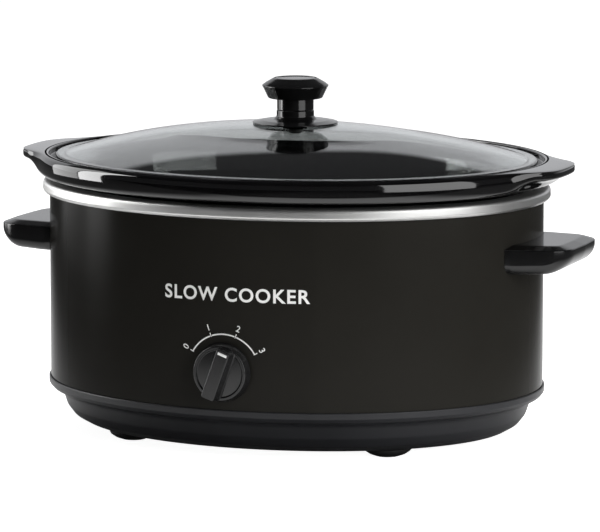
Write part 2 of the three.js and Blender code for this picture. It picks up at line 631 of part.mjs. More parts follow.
// ---- control knob and its shaft -----------------------------------------------------------------
// The dial group's origin is on the control's axis at the wrap's front face, with the pointer up.
const bladeY = DIAL_CLEAR + DIAL_GRIP_H;
const flat = SHAFT_R - 0.9; // height of the shaft's flat above its axis
const boreR = SHAFT_R + 0.7;
const boreDepth = 10;
const clipT = 0.5;
function controlKnob() {
  const skirt = turned([
    [0, DIAL_CLEAR], [DIAL_R - 0.6, DIAL_CLEAR], [DIAL_R, DIAL_CLEAR + 0.8],
    [DIAL_FACE_R + 0.6, DIAL_CLEAR + DIAL_SKIRT_H - 0.6], [DIAL_FACE_R, DIAL_CLEAR + DIAL_SKIRT_H],
    [0, DIAL_CLEAR + DIAL_SKIRT_H],
  ], 32);
  const grip = slab(
    rounded([
      [-DIAL_GRIP_W / 2, -DIAL_FACE_R, 3], [DIAL_GRIP_W / 2, -DIAL_FACE_R, 3],
      [DIAL_GRIP_W / 2, DIAL_FACE_R, 3], [-DIAL_GRIP_W / 2, DIAL_FACE_R, 3],
    ]), DIAL_GRIP_H - 2, 3,
  ).translate(0, 0, DIAL_CLEAR + 2);
  const socket = bore(boreR, 0, boreDepth, 16);
  const slot = at(
    block(pointerW + 2 * GAP, pointerL + 2 * GAP, 2 * pointerT), 0, pointerY, bladeY,
  );
  return facingFront(cut(join(skirt, grip), socket, slot));
}
const pointerW = 7;
const pointerL = 1.8;
const pointerT = 0.8;
const pointerY = DIAL_FACE_R - pointerL / 2 - 2.2;
piece(dial, "control_knob", controlKnob(), blackPlastic);
piece(
  dial, "knob_pointer",
  facingFront(at(block(pointerW, pointerL, pointerT - GAP), 0, pointerY, bladeY - pointerT / 2 + GAP / 2)),
  whiteInk,
);
const shaftIn = switchFace - wrapFront + SWITCH_D - 4;
function switchShaft() {
  const bar = rod(SHAFT_R, -shaftIn, boreDepth - 1, 16);
  const face = at(block(4 * SHAFT_R, 2 * SHAFT_R, boreDepth), 0, flat + SHAFT_R, boreDepth / 2 + 2);
  return facingFront(cut(bar, face));
}
piece(dial, "switch_shaft", switchShaft(), plainSteel);
piece(
  dial, "knob_clip",
  facingFront(at(block(3.4, clipT, 6), 0, flat + GAP + clipT / 2, 6)), plainSteel,
);
dial.position.set(0, wrapFront, DIAL_Z);
dial.rotation.y = DIAL_REST;

// ---- crock --------------------------------------------------------------------------------------
const rimOut = WRAP_A + CROCK_RIM_OUT;
const rimIn = rimOut - CROCK_LAND;
const crockWall = (z) => wellWall(z) - WELL_T / 2 - CROCK_CLEAR;
const neckZ = RING_TOP - 8;
const crockFootR = WRAP_A - WELL_FOOT_IN - 32;
function crockBody() {
  const body = oval([
    [0, CROCK_FOOT + 2], [crockFootR - 8, CROCK_FOOT + 2], [crockFootR - 6, CROCK_FOOT],
    [crockFootR, CROCK_FOOT], [crockWall(wellFootZ) - 7, CROCK_FOOT + 8],
    [crockWall(wellFootZ), wellFootZ + 3], [crockWall(neckZ), neckZ],
    [crockWall(neckZ) + 1, CROCK_RIM_Z], [rimOut - 4, CROCK_RIM_Z], [rimOut - 1, CROCK_RIM_Z + 4],
    [rimOut, CROCK_RIM_Z + 8.5], [rimOut - 0.5, CROCK_TOP - 3], [rimOut - 2.6, CROCK_TOP - 0.7],
    [rimIn + 1, CROCK_TOP], [rimIn, CROCK_TOP - 0.8], [rimIn, LID_SEAT], [rimIn - 10, LID_SEAT - 1],
    [crockWall(neckZ) - CROCK_T + 2, LID_SEAT - 7], [crockWall(neckZ) - CROCK_T, neckZ],
    [crockWall(wellFootZ) - CROCK_T - 1, wellFootZ + 4],
    [crockWall(wellFootZ) - CROCK_T - 9, CROCK_FOOT + CROCK_BASE_T + 4],
    [crockFootR - 10, CROCK_FOOT + CROCK_BASE_T], [0, CROCK_FOOT + CROCK_BASE_T],
  ]);
  const earSide = [
    [rimIn + 2, CROCK_TOP - 0.3], [EAR_TIP_X - 2.5, CROCK_TOP - 0.3], [EAR_TIP_X, CROCK_TOP - 2.2],
    [EAR_TIP_X, CROCK_TOP - EAR_T + 1.6], [EAR_TIP_X - 3, CROCK_TOP - EAR_T],
    [EAR_TIP_X - 9, CROCK_TOP - EAR_T - 2.5], [rimOut - 1.5, CROCK_RIM_Z + 3],
    [rimIn + 2, CROCK_RIM_Z + 1],
  ];
  const earPlan = rounded([
    [rimIn - 30, -EAR_HALF_W - 42], [EAR_TIP_X - 30, -EAR_HALF_W - 30],
    [EAR_TIP_X - 1.5, -EAR_HALF_W - 4, 14], [EAR_TIP_X, 0],
    [EAR_TIP_X - 1.5, EAR_HALF_W + 4, 14], [EAR_TIP_X - 30, EAR_HALF_W + 30],
    [rimIn - 30, EAR_HALF_W + 42],
  ]);
  const inside = oval([
    [0, CROCK_RIM_Z - 2], [rimIn + 1.5, CROCK_RIM_Z - 2], [rimIn + 1.5, CROCK_TOP + 2],
    [0, CROCK_TOP + 2],
  ]);
  const ear = cut(
    common(
      upright(earSide.map(([x, z]) => [x === rimIn + 2 ? rimIn - 30 : x, z]), EAR_HALF_W + 45),
      at(slab(earPlan, 40), 0, 0, CROCK_RIM_Z - 5),
    ), inside,
  );
  return join(body, ear, ear.clone().rotateZ(Math.PI));
}
piece(crock, "crock", crockBody(), blackGlaze);

// ---- glass lid and its knob ---------------------------------------------------------------------
// Height of the glass's upper face at half length r.
const domeZ = (r) => LID_EDGE_Z + LID_RISE * (1 - (r / (LID_R - 7)) ** 2.2);
const flatShare = 0.12; // part of the dome near its top that is almost flat
function lidGlass() {
  const shares = [0, flatShare, 0.35, 0.6, 0.82, 1];
  const top = shares.map((s) => [s * (LID_R - 7), domeZ(s * (LID_R - 7))]);
  const under = top.map(([r, z]) => [Math.max(0, r - (r > 100 ? 1.5 : 0)), z - LID_T]);
  const edge = LID_EDGE_Z - LID_T;
  const dome = oval([
    ...under, [LID_R - 1, edge], [LID_R, edge + 1], [LID_R, LID_EDGE_Z - 1],
    [LID_R - 1, LID_EDGE_Z], ...top.toReversed(),
  ]);
  return cut(dome, bore(lidBore, LID_EDGE_Z, LID_APEX + 5));
}
const lidBore = SCREW_R + 1.5;
piece(lid, "lid_glass", lidGlass(), clearGlass);

const shieldFoot = LID_APEX + GAP;
const screwBore = SCREW_R + GAP;
const shieldTop = shieldFoot + KNOB_SHIELD_H;
piece(
  lid, "lid_knob_shield",
  turned([
    [screwBore, shieldFoot], [14, shieldFoot], [KNOB_FLANGE_R - 1, domeZ(KNOB_FLANGE_R) + GAP],
    [KNOB_FLANGE_R, domeZ(KNOB_FLANGE_R) + GAP + 0.8],
    [KNOB_STEM_R + 2, shieldFoot + 2.4], [KNOB_STEM_R + 0.4, shieldFoot + 3.2],
    [KNOB_STEM_R + 0.3, shieldTop], [screwBore, shieldTop], [screwBore, shieldFoot],
  ], 28), blackPlastic,
);
const stemFoot = shieldTop + GAP;
const capFoot = stemFoot + KNOB_STEM_H;
const capTop = capFoot + KNOB_CAP_H;
const screwDepth = KNOB_STEM_H + 4; // how far the screw reaches into the knob
function lidKnob() {
  const knob = turned([
    [0, stemFoot], [KNOB_STEM_R, stemFoot], [KNOB_STEM_R, capFoot], [KNOB_CAP_NECK_R - 0.6, capFoot],
    [KNOB_CAP_NECK_R + 0.4, capFoot + 1], [KNOB_CAP_R, capTop - 0.8], [KNOB_CAP_R - 0.8, capTop],
    [INSERT_R + 2, capTop + KNOB_CROWN * 0.8], [INSERT_R + GAP, capTop + KNOB_CROWN],
    [INSERT_R + GAP, capTop + KNOB_CROWN - 1.8], [0, capTop + KNOB_CROWN - 1.8],
  ], 28);
  return cut(knob, bore(screwBore, stemFoot - 1, stemFoot + screwDepth));
}
piece(lid, "lid_knob", lidKnob(), blackPlastic);
piece(
  lid, "lid_knob_insert",
  turned([
    [0, 0], [INSERT_R, 0], [INSERT_R, 0.6], [INSERT_R - 1, 1.1], [0, 1.4],
  ], 28), blackPlastic, 0, 0, capTop + KNOB_CROWN - 1.8 + GAP,
);
const lidUnder = domeZ(flatShare * (LID_R - 7)) - LID_T;
const lidWasherT = 1.5;
piece(
  lid, "lid_washer", collar(screwBore, 9, lidWasherT), footRubber,
  0, 0, lidUnder - GAP - lidWasherT,
);
const lidHead = lidUnder - 2 * GAP - lidWasherT;
piece(
  lid, "lid_screw",
  screw(SCREW_R, stemFoot + screwDepth - 1.5 - lidHead, 5.5, 2.6).rotateX(Math.PI), plainSteel,
  0, 0, lidHead,
);

// ---- the whole cooker, centred over its footprint -----------------------------------------------
const cooker = new THREE.Group();
const body = new THREE.Group();
body.add(housing, dial, crock, lid);
const reach = new THREE.Box3().setFromObject(body, true);
body.position.y = -(reach.min.y + reach.max.y) / 2;
cooker.add(body);

export default cooker;
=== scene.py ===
"""An oval slow cooker: a black enamelled housing with a bright rolled ring, a glazed stoneware crock
that lifts out, a domed glass lid and a rotary heat control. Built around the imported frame, in metres."""

import math

import bmesh
import bpy
from mathutils import Matrix, Vector


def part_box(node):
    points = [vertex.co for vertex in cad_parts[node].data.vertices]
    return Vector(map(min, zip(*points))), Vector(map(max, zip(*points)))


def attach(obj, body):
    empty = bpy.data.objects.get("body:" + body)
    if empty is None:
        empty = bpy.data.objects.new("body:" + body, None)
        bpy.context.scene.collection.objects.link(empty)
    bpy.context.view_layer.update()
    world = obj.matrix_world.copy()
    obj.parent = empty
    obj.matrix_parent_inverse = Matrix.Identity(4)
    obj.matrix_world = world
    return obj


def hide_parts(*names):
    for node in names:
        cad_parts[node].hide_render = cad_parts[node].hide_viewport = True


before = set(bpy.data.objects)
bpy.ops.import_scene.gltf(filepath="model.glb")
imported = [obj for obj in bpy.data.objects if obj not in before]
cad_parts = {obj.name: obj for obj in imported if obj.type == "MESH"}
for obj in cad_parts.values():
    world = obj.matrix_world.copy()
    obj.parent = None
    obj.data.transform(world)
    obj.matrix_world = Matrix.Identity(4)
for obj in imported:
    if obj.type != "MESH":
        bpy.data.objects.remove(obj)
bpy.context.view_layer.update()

# ---- studio --------------------------------------------------------------------------------------
# A white table in a white studio: tall soft lights on the left, a wide dimmer one on the right, a
# flood for the matt surfaces from the right and from above, and a dark room behind the camera.
MM = 0.001
wrap_low, wrap_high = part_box("outer_wrap")
AXIS_Y = (wrap_low.y + wrap_high.y) / 2
WRAP_A = wrap_high.x / MM
WRAP_B = (wrap_high.y - AXIS_Y) / MM

VIEW_TURN = math.radians(20)
VIEW_RISE = math.radians(8.4)
VIEW_DISTANCE = 3.5
VIEW_LENS = 285.6
VIEW_ASIDE = 3.4 * MM
VIEW_HEIGHT = 121.6 * MM
view_right = Vector((math.cos(VIEW_TURN), math.sin(VIEW_TURN), 0))
view_back = Vector((math.sin(VIEW_TURN), -math.cos(VIEW_TURN), 0))
toward_camera = view_back * math.cos(VIEW_RISE) + Vector((0, 0, math.sin(VIEW_RISE)))
aim = Vector((0, AXIS_Y, VIEW_HEIGHT)) + view_right * VIEW_ASIDE

camera = bpy.data.objects.new("camera", bpy.data.cameras.new("camera"))
camera.data.sensor_width = 36
camera.data.lens = VIEW_LENS
camera.data.clip_end = 50
camera.location = aim + toward_camera * VIEW_DISTANCE
camera.rotation_euler = toward_camera.to_track_quat("Z", "Y").to_euler()
bpy.context.scene.collection.objects.link(camera)
bpy.context.scene.camera = camera
bpy.context.scene.view_settings.view_transform = "Standard"


def soft_light(name, turn, distance, width, low, high, radiance, gloss=True, matt=False):
    """An upright soft box, turned so many degrees round from the camera's side (left is minus).
    It shows in polish and glaze (gloss), or floods the matt surfaces (matt)."""
    lamp = bpy.data.lights.new(name, "AREA")
    lamp.shape = "RECTANGLE"
    lamp.size = width
    lamp.size_y = high - low
    lamp.energy = radiance * math.pi * width * (high - low)
    box = bpy.data.objects.new(name, lamp)
    away = Matrix.Rotation(math.radians(turn), 3, "Z") @ view_back
    box.location = Vector((0, AXIS_Y, (low + high) / 2)) + away * distance
    box.rotation_euler = away.to_track_quat("Z", "Y").to_euler()
    box.visible_camera = False
    box.visible_glossy = gloss
    box.visible_transmission = gloss
    box.visible_diffuse = matt
    bpy.context.scene.collection.objects.link(box)
    return box


soft_light("left_light", -97, 1.25, 0.32, 0.0, 1.3, 7.5)
soft_light("left_light_rear", -117, 1.25, 0.52, 0.0, 1.3, 2.2)
soft_light("right_light", 43, 1.35, 1.05, 0.03, 1.2, 2.6)
soft_light("right_flood", 43, 1.35, 1.05, 0.03, 1.2, 5.5, gloss=False, matt=True)
# The last one hangs level over the cooker, a little to the rear.
OVERHEAD_BACK = 0.1
OVERHEAD_Z = 1.6
over = soft_light("overhead_light", 180, 0.25, 1.5, 0.9, 2.1, 4.0, gloss=False, matt=True)
over.location = (0, AXIS_Y + OVERHEAD_BACK, OVERHEAD_Z)
over.rotation_euler = (0, 0, 0)

world = bpy.data.worlds.new("studio")
bpy.context.scene.world = world
world.use_nodes = True
sky = world.node_tree
sky.nodes.clear()


def add_node(tree, kind, **values):
    """A new shader node with its own settings."""
    node = tree.nodes.new(kind)
    for key, value in values.items():
        setattr(node, key, value)
    return node


def join(tree, source, target):
    """Joins an output to an input."""
    tree.links.new(source, target)


def ramp(tree, source, start, stop, low, high):
    """A value that goes softly from low, where the source is at start, to high at stop."""
    node = add_node(tree, "ShaderNodeMapRange", interpolation_type="SMOOTHSTEP")
    for label, value in (("From Min", start), ("From Max", stop), ("To Min", low), ("To Max", high)):
        node.inputs[label].default_value = value
    join(tree, source, node.inputs["Value"])
    return node.outputs["Result"]


def along_axis(tree, source, axis):
    """How far a point or direction lies along an axis."""
    node = add_node(tree, "ShaderNodeVectorMath", operation="DOT_PRODUCT")
    node.inputs[1].default_value = axis
    join(tree, source, node.inputs[0])
    return node.outputs["Value"]


def worked_out(tree, operation, *sources):
    """One value from others; a plain number may stand for a socket."""
    node = add_node(tree, "ShaderNodeMath", operation=operation)
    for socket, source in zip(node.inputs, sources):
        if isinstance(source, bpy.types.NodeSocket):
            join(tree, source, socket)
        else:
            socket.default_value = source
    return node.outputs[0]


# The room is bright low down behind the cooker and dims towards the camera's side and above.
where = add_node(sky, "ShaderNodeTexCoord").outputs["Generated"]
falloff = ramp(sky, along_axis(sky, where, -view_back), 0.1, 0.75, 0.07, 0.72)
height = add_node(sky, "ShaderNodeSeparateXYZ")
join(sky, where, height.inputs[0])
paper_top = ramp(sky, height.outputs["Z"], 0.465, 0.505, 1, 0.08)
room = add_node(sky, "ShaderNodeBackground")
room.inputs["Color"].default_value = (0.96, 0.97, 1, 1)
join(sky, worked_out(sky, "MULTIPLY", falloff, paper_top), room.inputs["Strength"])
white = add_node(sky, "ShaderNodeBackground")
white.inputs["Color"].default_value = (1, 1, 1, 1)
ray = add_node(sky, "ShaderNodeLightPath")
seen = add_node(sky, "ShaderNodeMixShader")
join(sky, ray.outputs["Is Camera Ray"], seen.inputs[0])
join(sky, room.outputs[0], seen.inputs[1])
join(sky, white.outputs[0], seen.inputs[2])
join(sky, seen.outputs[0], add_node(sky, "ShaderNodeOutputWorld").inputs[0])

# The table is white to the eye. What the pieces mirror of it, and the light that bounces off it onto them,
# is painted:
# a painted glow round the cooker, a painted shadow under it, and painted shade out to the sides and
# towards the room in front.
TABLE_R = 12
TABLE_GLOW = 0.95
PAINTED_GLOW_STRENGTH = 0.4
table_mesh = bpy.data.meshes.new("table")
table_bm = bmesh.new()
bmesh.ops.create_circle(table_bm, cap_ends=True, segments=96, radius=TABLE_R)
table_bm.to_mesh(table_mesh)
table_bm.free()
table = bpy.data.objects.new("table", table_mesh)
bpy.context.scene.collection.objects.link(table)
paper = bpy.data.materials.new("white_paper")
paper.use_nodes = True
tree = paper.node_tree
tree.nodes.clear()
matt = add_node(tree, "ShaderNodeBsdfDiffuse")
matt.inputs["Color"].default_value = (0.9, 0.9, 0.9, 1)
glow = add_node(tree, "ShaderNodeEmission")
glow.inputs["Strength"].default_value = TABLE_GLOW
lit = add_node(tree, "ShaderNodeAddShader")
join(tree, matt.outputs[0], lit.inputs[0])
join(tree, glow.outputs[0], lit.inputs[1])
where = add_node(tree, "ShaderNodeTexCoord").outputs["Object"]
# Painted shade: the mirrored table goes dark towards the room in front.
painted_front_shade = ramp(tree, along_axis(tree, where, view_back), 0.56, 0.66, 0.95, 0.06)
outward = add_node(tree, "ShaderNodeVectorMath", operation="LENGTH")
join(tree, where, outward.inputs[0])
# Painted shadow: the mirrored table is dark under and close round the cooker.
painted_contact_shadow = ramp(tree, outward.outputs["Value"], 0.14, 0.23, 0.08, 1.0)
# Painted shade: the mirrored table goes dark out to either side.
either_side = worked_out(tree, "ABSOLUTE", along_axis(tree, where, view_right))
painted_side_shade = ramp(tree, either_side, 0.22, 0.60, 1, 0.10)
painted_floor_light = worked_out(tree, "MULTIPLY", worked_out(tree, "MULTIPLY", painted_front_shade, painted_contact_shadow), painted_side_shade)
painted_floor_matt = add_node(tree, "ShaderNodeBsdfDiffuse")
join(tree, painted_floor_light, painted_floor_matt.inputs["Color"])
# Painted glow: where it is painted bright, the mirrored table gives off light of its own.
painted_glow = add_node(tree, "ShaderNodeEmission")
join(tree, worked_out(tree, "MULTIPLY", painted_floor_light, PAINTED_GLOW_STRENGTH), painted_glow.inputs["Strength"])
painted_reflected_floor = add_node(tree, "ShaderNodeAddShader")
join(tree, painted_floor_matt.outputs[0], painted_reflected_floor.inputs[0])
join(tree, painted_glow.outputs[0], painted_reflected_floor.inputs[1])
# Bounced rays see the painted shadow, shade and glow; the eye sees the evenly white table.
ray = add_node(tree, "ShaderNodeLightPath")
bounced = worked_out(tree, "MAXIMUM", ray.outputs["Is Glossy Ray"], ray.outputs["Is Diffuse Ray"])
seen = add_node(tree, "ShaderNodeMixShader")
join(tree, bounced, seen.inputs[0])
join(tree, lit.outputs[0], seen.inputs[1])
join(tree, painted_reflected_floor.outputs[0], seen.inputs[2])
join(tree, seen.outputs[0], add_node(tree, "ShaderNodeOutputMaterial").inputs[0])
table_mesh.materials.append(paper)

# ---- outer wrap ----------------------------------------------------------------------------------
# One strip of steel, enamelled satin black, rolled to an oval and locked by a folded seam at the
# rear. It stands in the base tray and its top is hidden under the rolled ring.
WRAP_T = 0.8
CORE = 0.54 * WRAP_A  # ovals smaller than this shrink in proportion
AROUND = 192


def narrow(r):
    """Half width of the oval whose half length is r, both in millimetres."""
    return r - (WRAP_A - WRAP_B) * min(1, r / CORE)


def oval_point(r, turn, z):
    """The point at one turn round an oval at one height, in metres."""
    return Vector((r * math.cos(turn), narrow(r) * math.sin(turn) + AXIS_Y / MM, z)) * MM


def oval_y(r, x):
    """How far an oval stands from its long axis at one place along it, in millimetres."""
    return narrow(r) * math.sqrt(1 - (x / r) ** 2)


def eased(corners, steps=5, closed=False):
    """An outline with rounded corners: each corner is (across, up) or (across, up, radius)."""
    line = []
    count = len(corners)
    for i, corner in enumerate(corners):
        here = Vector(corner[:2])
        radius = corner[2] if len(corner) > 2 else 0
        if not radius or (not closed and i in (0, count - 1)):
            line.append(here)
            continue
        back = Vector(corners[i - 1][:2]) - here
        ahead = Vector(corners[(i + 1) % count][:2]) - here
        reach = radius / math.tan(back.angle(ahead) / 2)
        into = here + back.normalized() * min(reach, 0.49 * back.length)
        out = here + ahead.normalized() * min(reach, 0.49 * ahead.length)
        for step in range(steps + 1):
            share = step / steps
            line.append(into.lerp(here, share).lerp(here.lerp(out, share), share))
    return line


def skin(loops, closed_section, closed_around=True):
    """A mesh over loops of points; a loop of one point is a pole. Each loop runs round the piece."""
    mesh = bmesh.new()
    rows = [[mesh.verts.new(p) for p in loop] for loop in loops]
    pairs = list(zip(rows, rows[1:]))
    if closed_section:
        pairs.append((rows[-1], rows[0]))
    for a, b in pairs:
        count = max(len(a), len(b))
        for i in range(count if closed_around else count - 1):
            j = (i + 1) % count
            ring = [a[i % len(a)], a[j % len(a)], b[j % len(b)], b[i % len(b)]]
            face = list(dict.fromkeys(ring))
            if len(face) > 2:
                mesh.faces.new(face)
    bmesh.ops.recalc_face_normals(mesh, faces=mesh.faces[:])
    return mesh


def oval_skin(profile, closed_section=True):
    """A profile of (half length, height) carried round the cooker's oval."""
    loops = []
    for r, z in profile:
        if r < 1e-6:
            loops.append([oval_point(0, 0, z)])
        else:
            turns = (2 * math.pi * i / AROUND for i in range(AROUND))
            loops.append([oval_point(r, turn, z) for turn in turns])
    return skin(loops, closed_section)


def round_skin(profile, centre, closed_section=True, around=96):
    """The same for a round piece whose axis is upright at centre."""
    loops = []
    for r, z in profile:
        if r < 1e-6:
            loops.append([Vector(centre) + Vector((0, 0, z)) * MM])
            continue
        turns = [2 * math.pi * i / around for i in range(around)]
        loops.append(
            [Vector(centre) + Vector((r * math.cos(t), r * math.sin(t), z)) * MM for t in turns]
        )
    return skin(loops, closed_section)


def bare_piece(name, mesh):
    """An object from a bmesh, with no material yet."""
    data = bpy.data.meshes.new(name)
    mesh.to_mesh(data)
    mesh.free()
    piece = bpy.data.objects.new(name, data)
    bpy.context.scene.collection.objects.link(piece)
    return piece


def even_faces(piece):
    """Keeps broad faces flat to the eye beside their small roundings."""
    even = piece.modifiers.new("even_faces", "WEIGHTED_NORMAL")
    even.keep_sharp = True


def make(name, mesh, material, crease=40):
    """A named piece from a bmesh, shaded smooth with its hard corners kept."""
    piece = bare_piece(name, mesh)
    piece.data.materials.append(material)
    piece.data.shade_smooth()
    piece.data.set_sharp_from_angle(angle=math.radians(crease))
    even_faces(piece)
    return piece


def fit(piece, body, slot, *nodes):
    """Fixes a finished piece on its body, in place of the frame's plain nodes."""
    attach(piece, body)
    if nodes:
        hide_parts(*nodes)
    return piece


def cut_with(piece, tools):
    """Cuts the tool pieces out of a piece and clears them away."""
    for tool in tools:
        cutter = piece.modifiers.new("cut", "BOOLEAN")
        cutter.operation = "DIFFERENCE"
        cutter.solver = "EXACT"
        cutter.object = tool
    bpy.context.view_layer.update()
    shaped = piece.evaluated_get(bpy.context.evaluated_depsgraph_get())
    data = bpy.data.meshes.new_from_object(shaped)
    piece.modifiers.clear()
    piece.data = data
    even_faces(piece)
    for tool in tools:
        bpy.data.objects.remove(tool)


def rod(radius, start, end):
    """A plain round tool between two points in metres, for cutting holes."""
    mesh = bmesh.new()
    along = Vector(end) - Vector(start)
    frame_of = along.to_track_quat("Z", "Y").to_matrix().to_4x4()
    place = Matrix.Translation((Vector(start) + Vector(end)) / 2) @ frame_of
    bmesh.ops.create_cone(
        mesh, cap_ends=True, segments=24, radius1=radius, radius2=radius,
        depth=along.length, matrix=place,
    )
    return bare_piece("tool", mesh)


def box_tool(low, high):
    """A square tool between two corners in metres, for cutting slots."""
    mesh = bmesh.new()
    bmesh.ops.create_cube(mesh, size=1)
    for vert in mesh.verts:
        vert.co = [a + (b - a) * (c + 0.5) for a, b, c in zip(low, high, vert.co)]
    return bare_piece("tool", mesh)


def new_group(name, inputs, outputs):
    """An empty shader group with named sockets; inputs are (kind, name, default)."""
    group = bpy.data.node_groups.new(name, "ShaderNodeTree")
    for kind, label, default in inputs:
        socket = group.interface.new_socket(label, in_out="INPUT", socket_type="NodeSocket" + kind)
        socket.default_value = default
    for kind, label in outputs:
        group.interface.new_socket(label, in_out="OUTPUT", socket_type="NodeSocket" + kind)
    return group, group.nodes.new("NodeGroupInput"), group.nodes.new("NodeGroupOutput")


def gloss_from(group, given, result, pattern, start, stop):
    """Sends a pattern out as roughness, from the group's Gloss Low to its Gloss High."""
    between = add_node(group, "ShaderNodeMapRange")
    between.inputs["From Min"].default_value = start
    between.inputs["From Max"].default_value = stop
    join(group, pattern, between.inputs["Value"])
    join(group, given.outputs["Gloss Low"], between.inputs["To Min"])
    join(group, given.outputs["Gloss High"], between.inputs["To Max"])
    join(group, between.outputs["Result"], result.inputs["Roughness"])


# Moulding and spraying leave a fine grain: it lifts the surface a little and spreads its gloss.
grain_group, given, result = new_group(
    "fine_grain",
    [("Float", "Scale", 900.0), ("Float", "Gloss Low", 0.3), ("Float", "Gloss High", 0.4)],
    [("Float", "Roughness"), ("Float", "Height")],
)
where = add_node(grain_group, "ShaderNodeTexCoord")
fine = add_node(grain_group, "ShaderNodeTexNoise")
fine.inputs["Detail"].default_value = 3
join(grain_group, where.outputs["Object"], fine.inputs["Vector"])
join(grain_group, given.outputs["Scale"], fine.inputs["Scale"])
broad = add_node(grain_group, "ShaderNodeTexNoise")
broad.inputs["Scale"].default_value = 22
broad.inputs["Detail"].default_value = 4
join(grain_group, where.outputs["Object"], broad.inputs["Vector"])
fine_share = worked_out(grain_group, "MULTIPLY", fine.outputs["Fac"], 0.4)
blend = worked_out(grain_group, "MULTIPLY_ADD", broad.outputs["Fac"], 0.6, fine_share)
gloss_from(grain_group, given, result, blend, 0.35, 0.65)
join(grain_group, fine.outputs["Fac"], result.inputs["Height"])

# Pigment and heat leave a surface slightly uneven in tone over a few centimetres.
tone_group, given, result = new_group(
    "uneven_tone",
    [("Color", "Main", (0, 0, 0, 1)), ("Color", "Second", (0, 0, 0, 1)), ("Float", "Scale", 14.0)],
    [("Color", "Color")],
)
where = add_node(tone_group, "ShaderNodeTexCoord")
cloud = add_node(tone_group, "ShaderNodeTexNoise")
cloud.inputs["Detail"].default_value = 5
cloud.inputs["Roughness"].default_value = 0.6
join(tone_group, where.outputs["Object"], cloud.inputs["Vector"])
join(tone_group, given.outputs["Scale"], cloud.inputs["Scale"])
mixed = add_node(tone_group, "ShaderNodeMix", data_type="RGBA")
mask = ramp(tone_group, cloud.outputs["Fac"], 0.35, 0.68, 0, 1)
join(tone_group, mask, mixed.inputs["Factor"])
join(tone_group, given.outputs["Main"], mixed.inputs["A"])
join(tone_group, given.outputs["Second"], mixed.inputs["B"])
join(tone_group, mixed.outputs["Result"], result.inputs["Color"])


def finish(
    name, main, second, tone_scale, gloss, grain_scale, grain_depth, surface=grain_group, **sockets
):
    """A material of uneven tone with a grained surface, whose depth is in millimetres. Further
    values go straight on the shader."""
    material = bpy.data.materials.new(name)
    material.use_nodes = True
    tree = material.node_tree
    shader = tree.nodes["Principled BSDF"]
    tone = add_node(tree, "ShaderNodeGroup", node_tree=tone_group)
    tone.inputs["Main"].default_value = (*main, 1)
    tone.inputs["Second"].default_value = (*second, 1)
    tone.inputs["Scale"].default_value = tone_scale
    join(tree, tone.outputs["Color"], shader.inputs["Base Color"])
    grain = add_node(tree, "ShaderNodeGroup", node_tree=surface)
    grain.inputs["Scale"].default_value = grain_scale
    grain.inputs["Gloss Low"].default_value = gloss[0]
    grain.inputs["Gloss High"].default_value = gloss[1]
    join(tree, grain.outputs["Roughness"], shader.inputs["Roughness"])
    bump = add_node(tree, "ShaderNodeBump")
    bump.inputs["Strength"].default_value = 0.5
    bump.inputs["Distance"].default_value = grain_depth * MM
    join(tree, grain.outputs["Height"], bump.inputs["Height"])
    join(tree, bump.outputs["Normal"], shader.inputs["Normal"])
    for label, value in sockets.items():
        shader.inputs[label.replace("_", " ")].default_value = value
    return material


satin_enamel = finish(
    "satin_black_enamel", (0.0150, 0.0142, 0.0121), (0.0168, 0.0159, 0.0136), 9,
    (0.18, 0.23), 1100, 0.003, Specular_IOR_Level=0.045,
)
wrap_foot, wrap_top = wrap_low.z / MM, wrap_high.z / MM
wrap = make(
    "outer_wrap_shell",
    oval_skin(
        [
            (WRAP_A - WRAP_T, wrap_foot), (WRAP_A, wrap_foot), (WRAP_A, wrap_top),
            (WRAP_A - WRAP_T, wrap_top),
        ],
    ),
    satin_enamel,
)
shaft_low, shaft_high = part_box("switch_shaft")
dial_z = (shaft_low.z + shaft_high.z) / 2
gland_low, gland_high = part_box("cord_gland")
gland_z = (gland_low.z + gland_high.z) / 2
SHAFT_HOLE_R = 4 * MM
GLAND_HOLE_R = 7 * MM
HANDLE_HOLE_R = 2.5 * MM
SWITCH_HOLE_R = 2 * MM
through = Vector((0, 0.02, 0))
front = Vector((0, wrap_low.y, dial_z))
rear = Vector((0, wrap_high.y, gland_z))
holes = [
    rod(SHAFT_HOLE_R, front - through, front + through),
    rod(GLAND_HOLE_R, rear - through, rear + through),
]
for screw in ("left_front", "left_rear", "right_front", "right_rear"):
    low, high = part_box("handle_screw_" + screw)
    middle = (low + high) / 2
    reach = Vector((0.03, 0, 0))
    holes.append(rod(HANDLE_HOLE_R, middle - reach, middle + reach))
for side in ("left", "right"):
    low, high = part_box("switch_screw_" + side)
    middle = (low + high) / 2
    reach = Vector((0, 0.012, 0))
    holes.append(rod(SWITCH_HOLE_R, middle - reach, middle + reach))
cut_with(wrap, holes)
fit(wrap, "housing", "black_enamel", "outer_wrap")

SEAM_X = 58
SEAM_HALF = 4.5
SEAM_OUT = 0.7
SEAM_SUNK = 0.05
SEAM_FOOT = 40
SEAM_STEP = 3


def seam_section(z):
    """The folded seam's cross-section on the rear of the wrap at one height. Its edges roll in over
    rather more than a fifth of its width."""
    points = []
    for step in range(13):
        share = step / 12
        x = SEAM_X + SEAM_HALF * (2 * share - 1)
        lift = SEAM_OUT * min(1, 4.5 * min(share, 1 - share)) ** 0.5
        points.append(Vector((x, oval_y(WRAP_A, x) + lift - SEAM_SUNK + AXIS_Y / MM, z)) * MM)
    return points


seam = make(
    "wrap_lock_seam",
    skin([seam_section(SEAM_FOOT + SEAM_STEP * i) for i in range(45)], False, closed_around=False),
    satin_enamel,
)
fit(seam, "housing", "black_enamel")

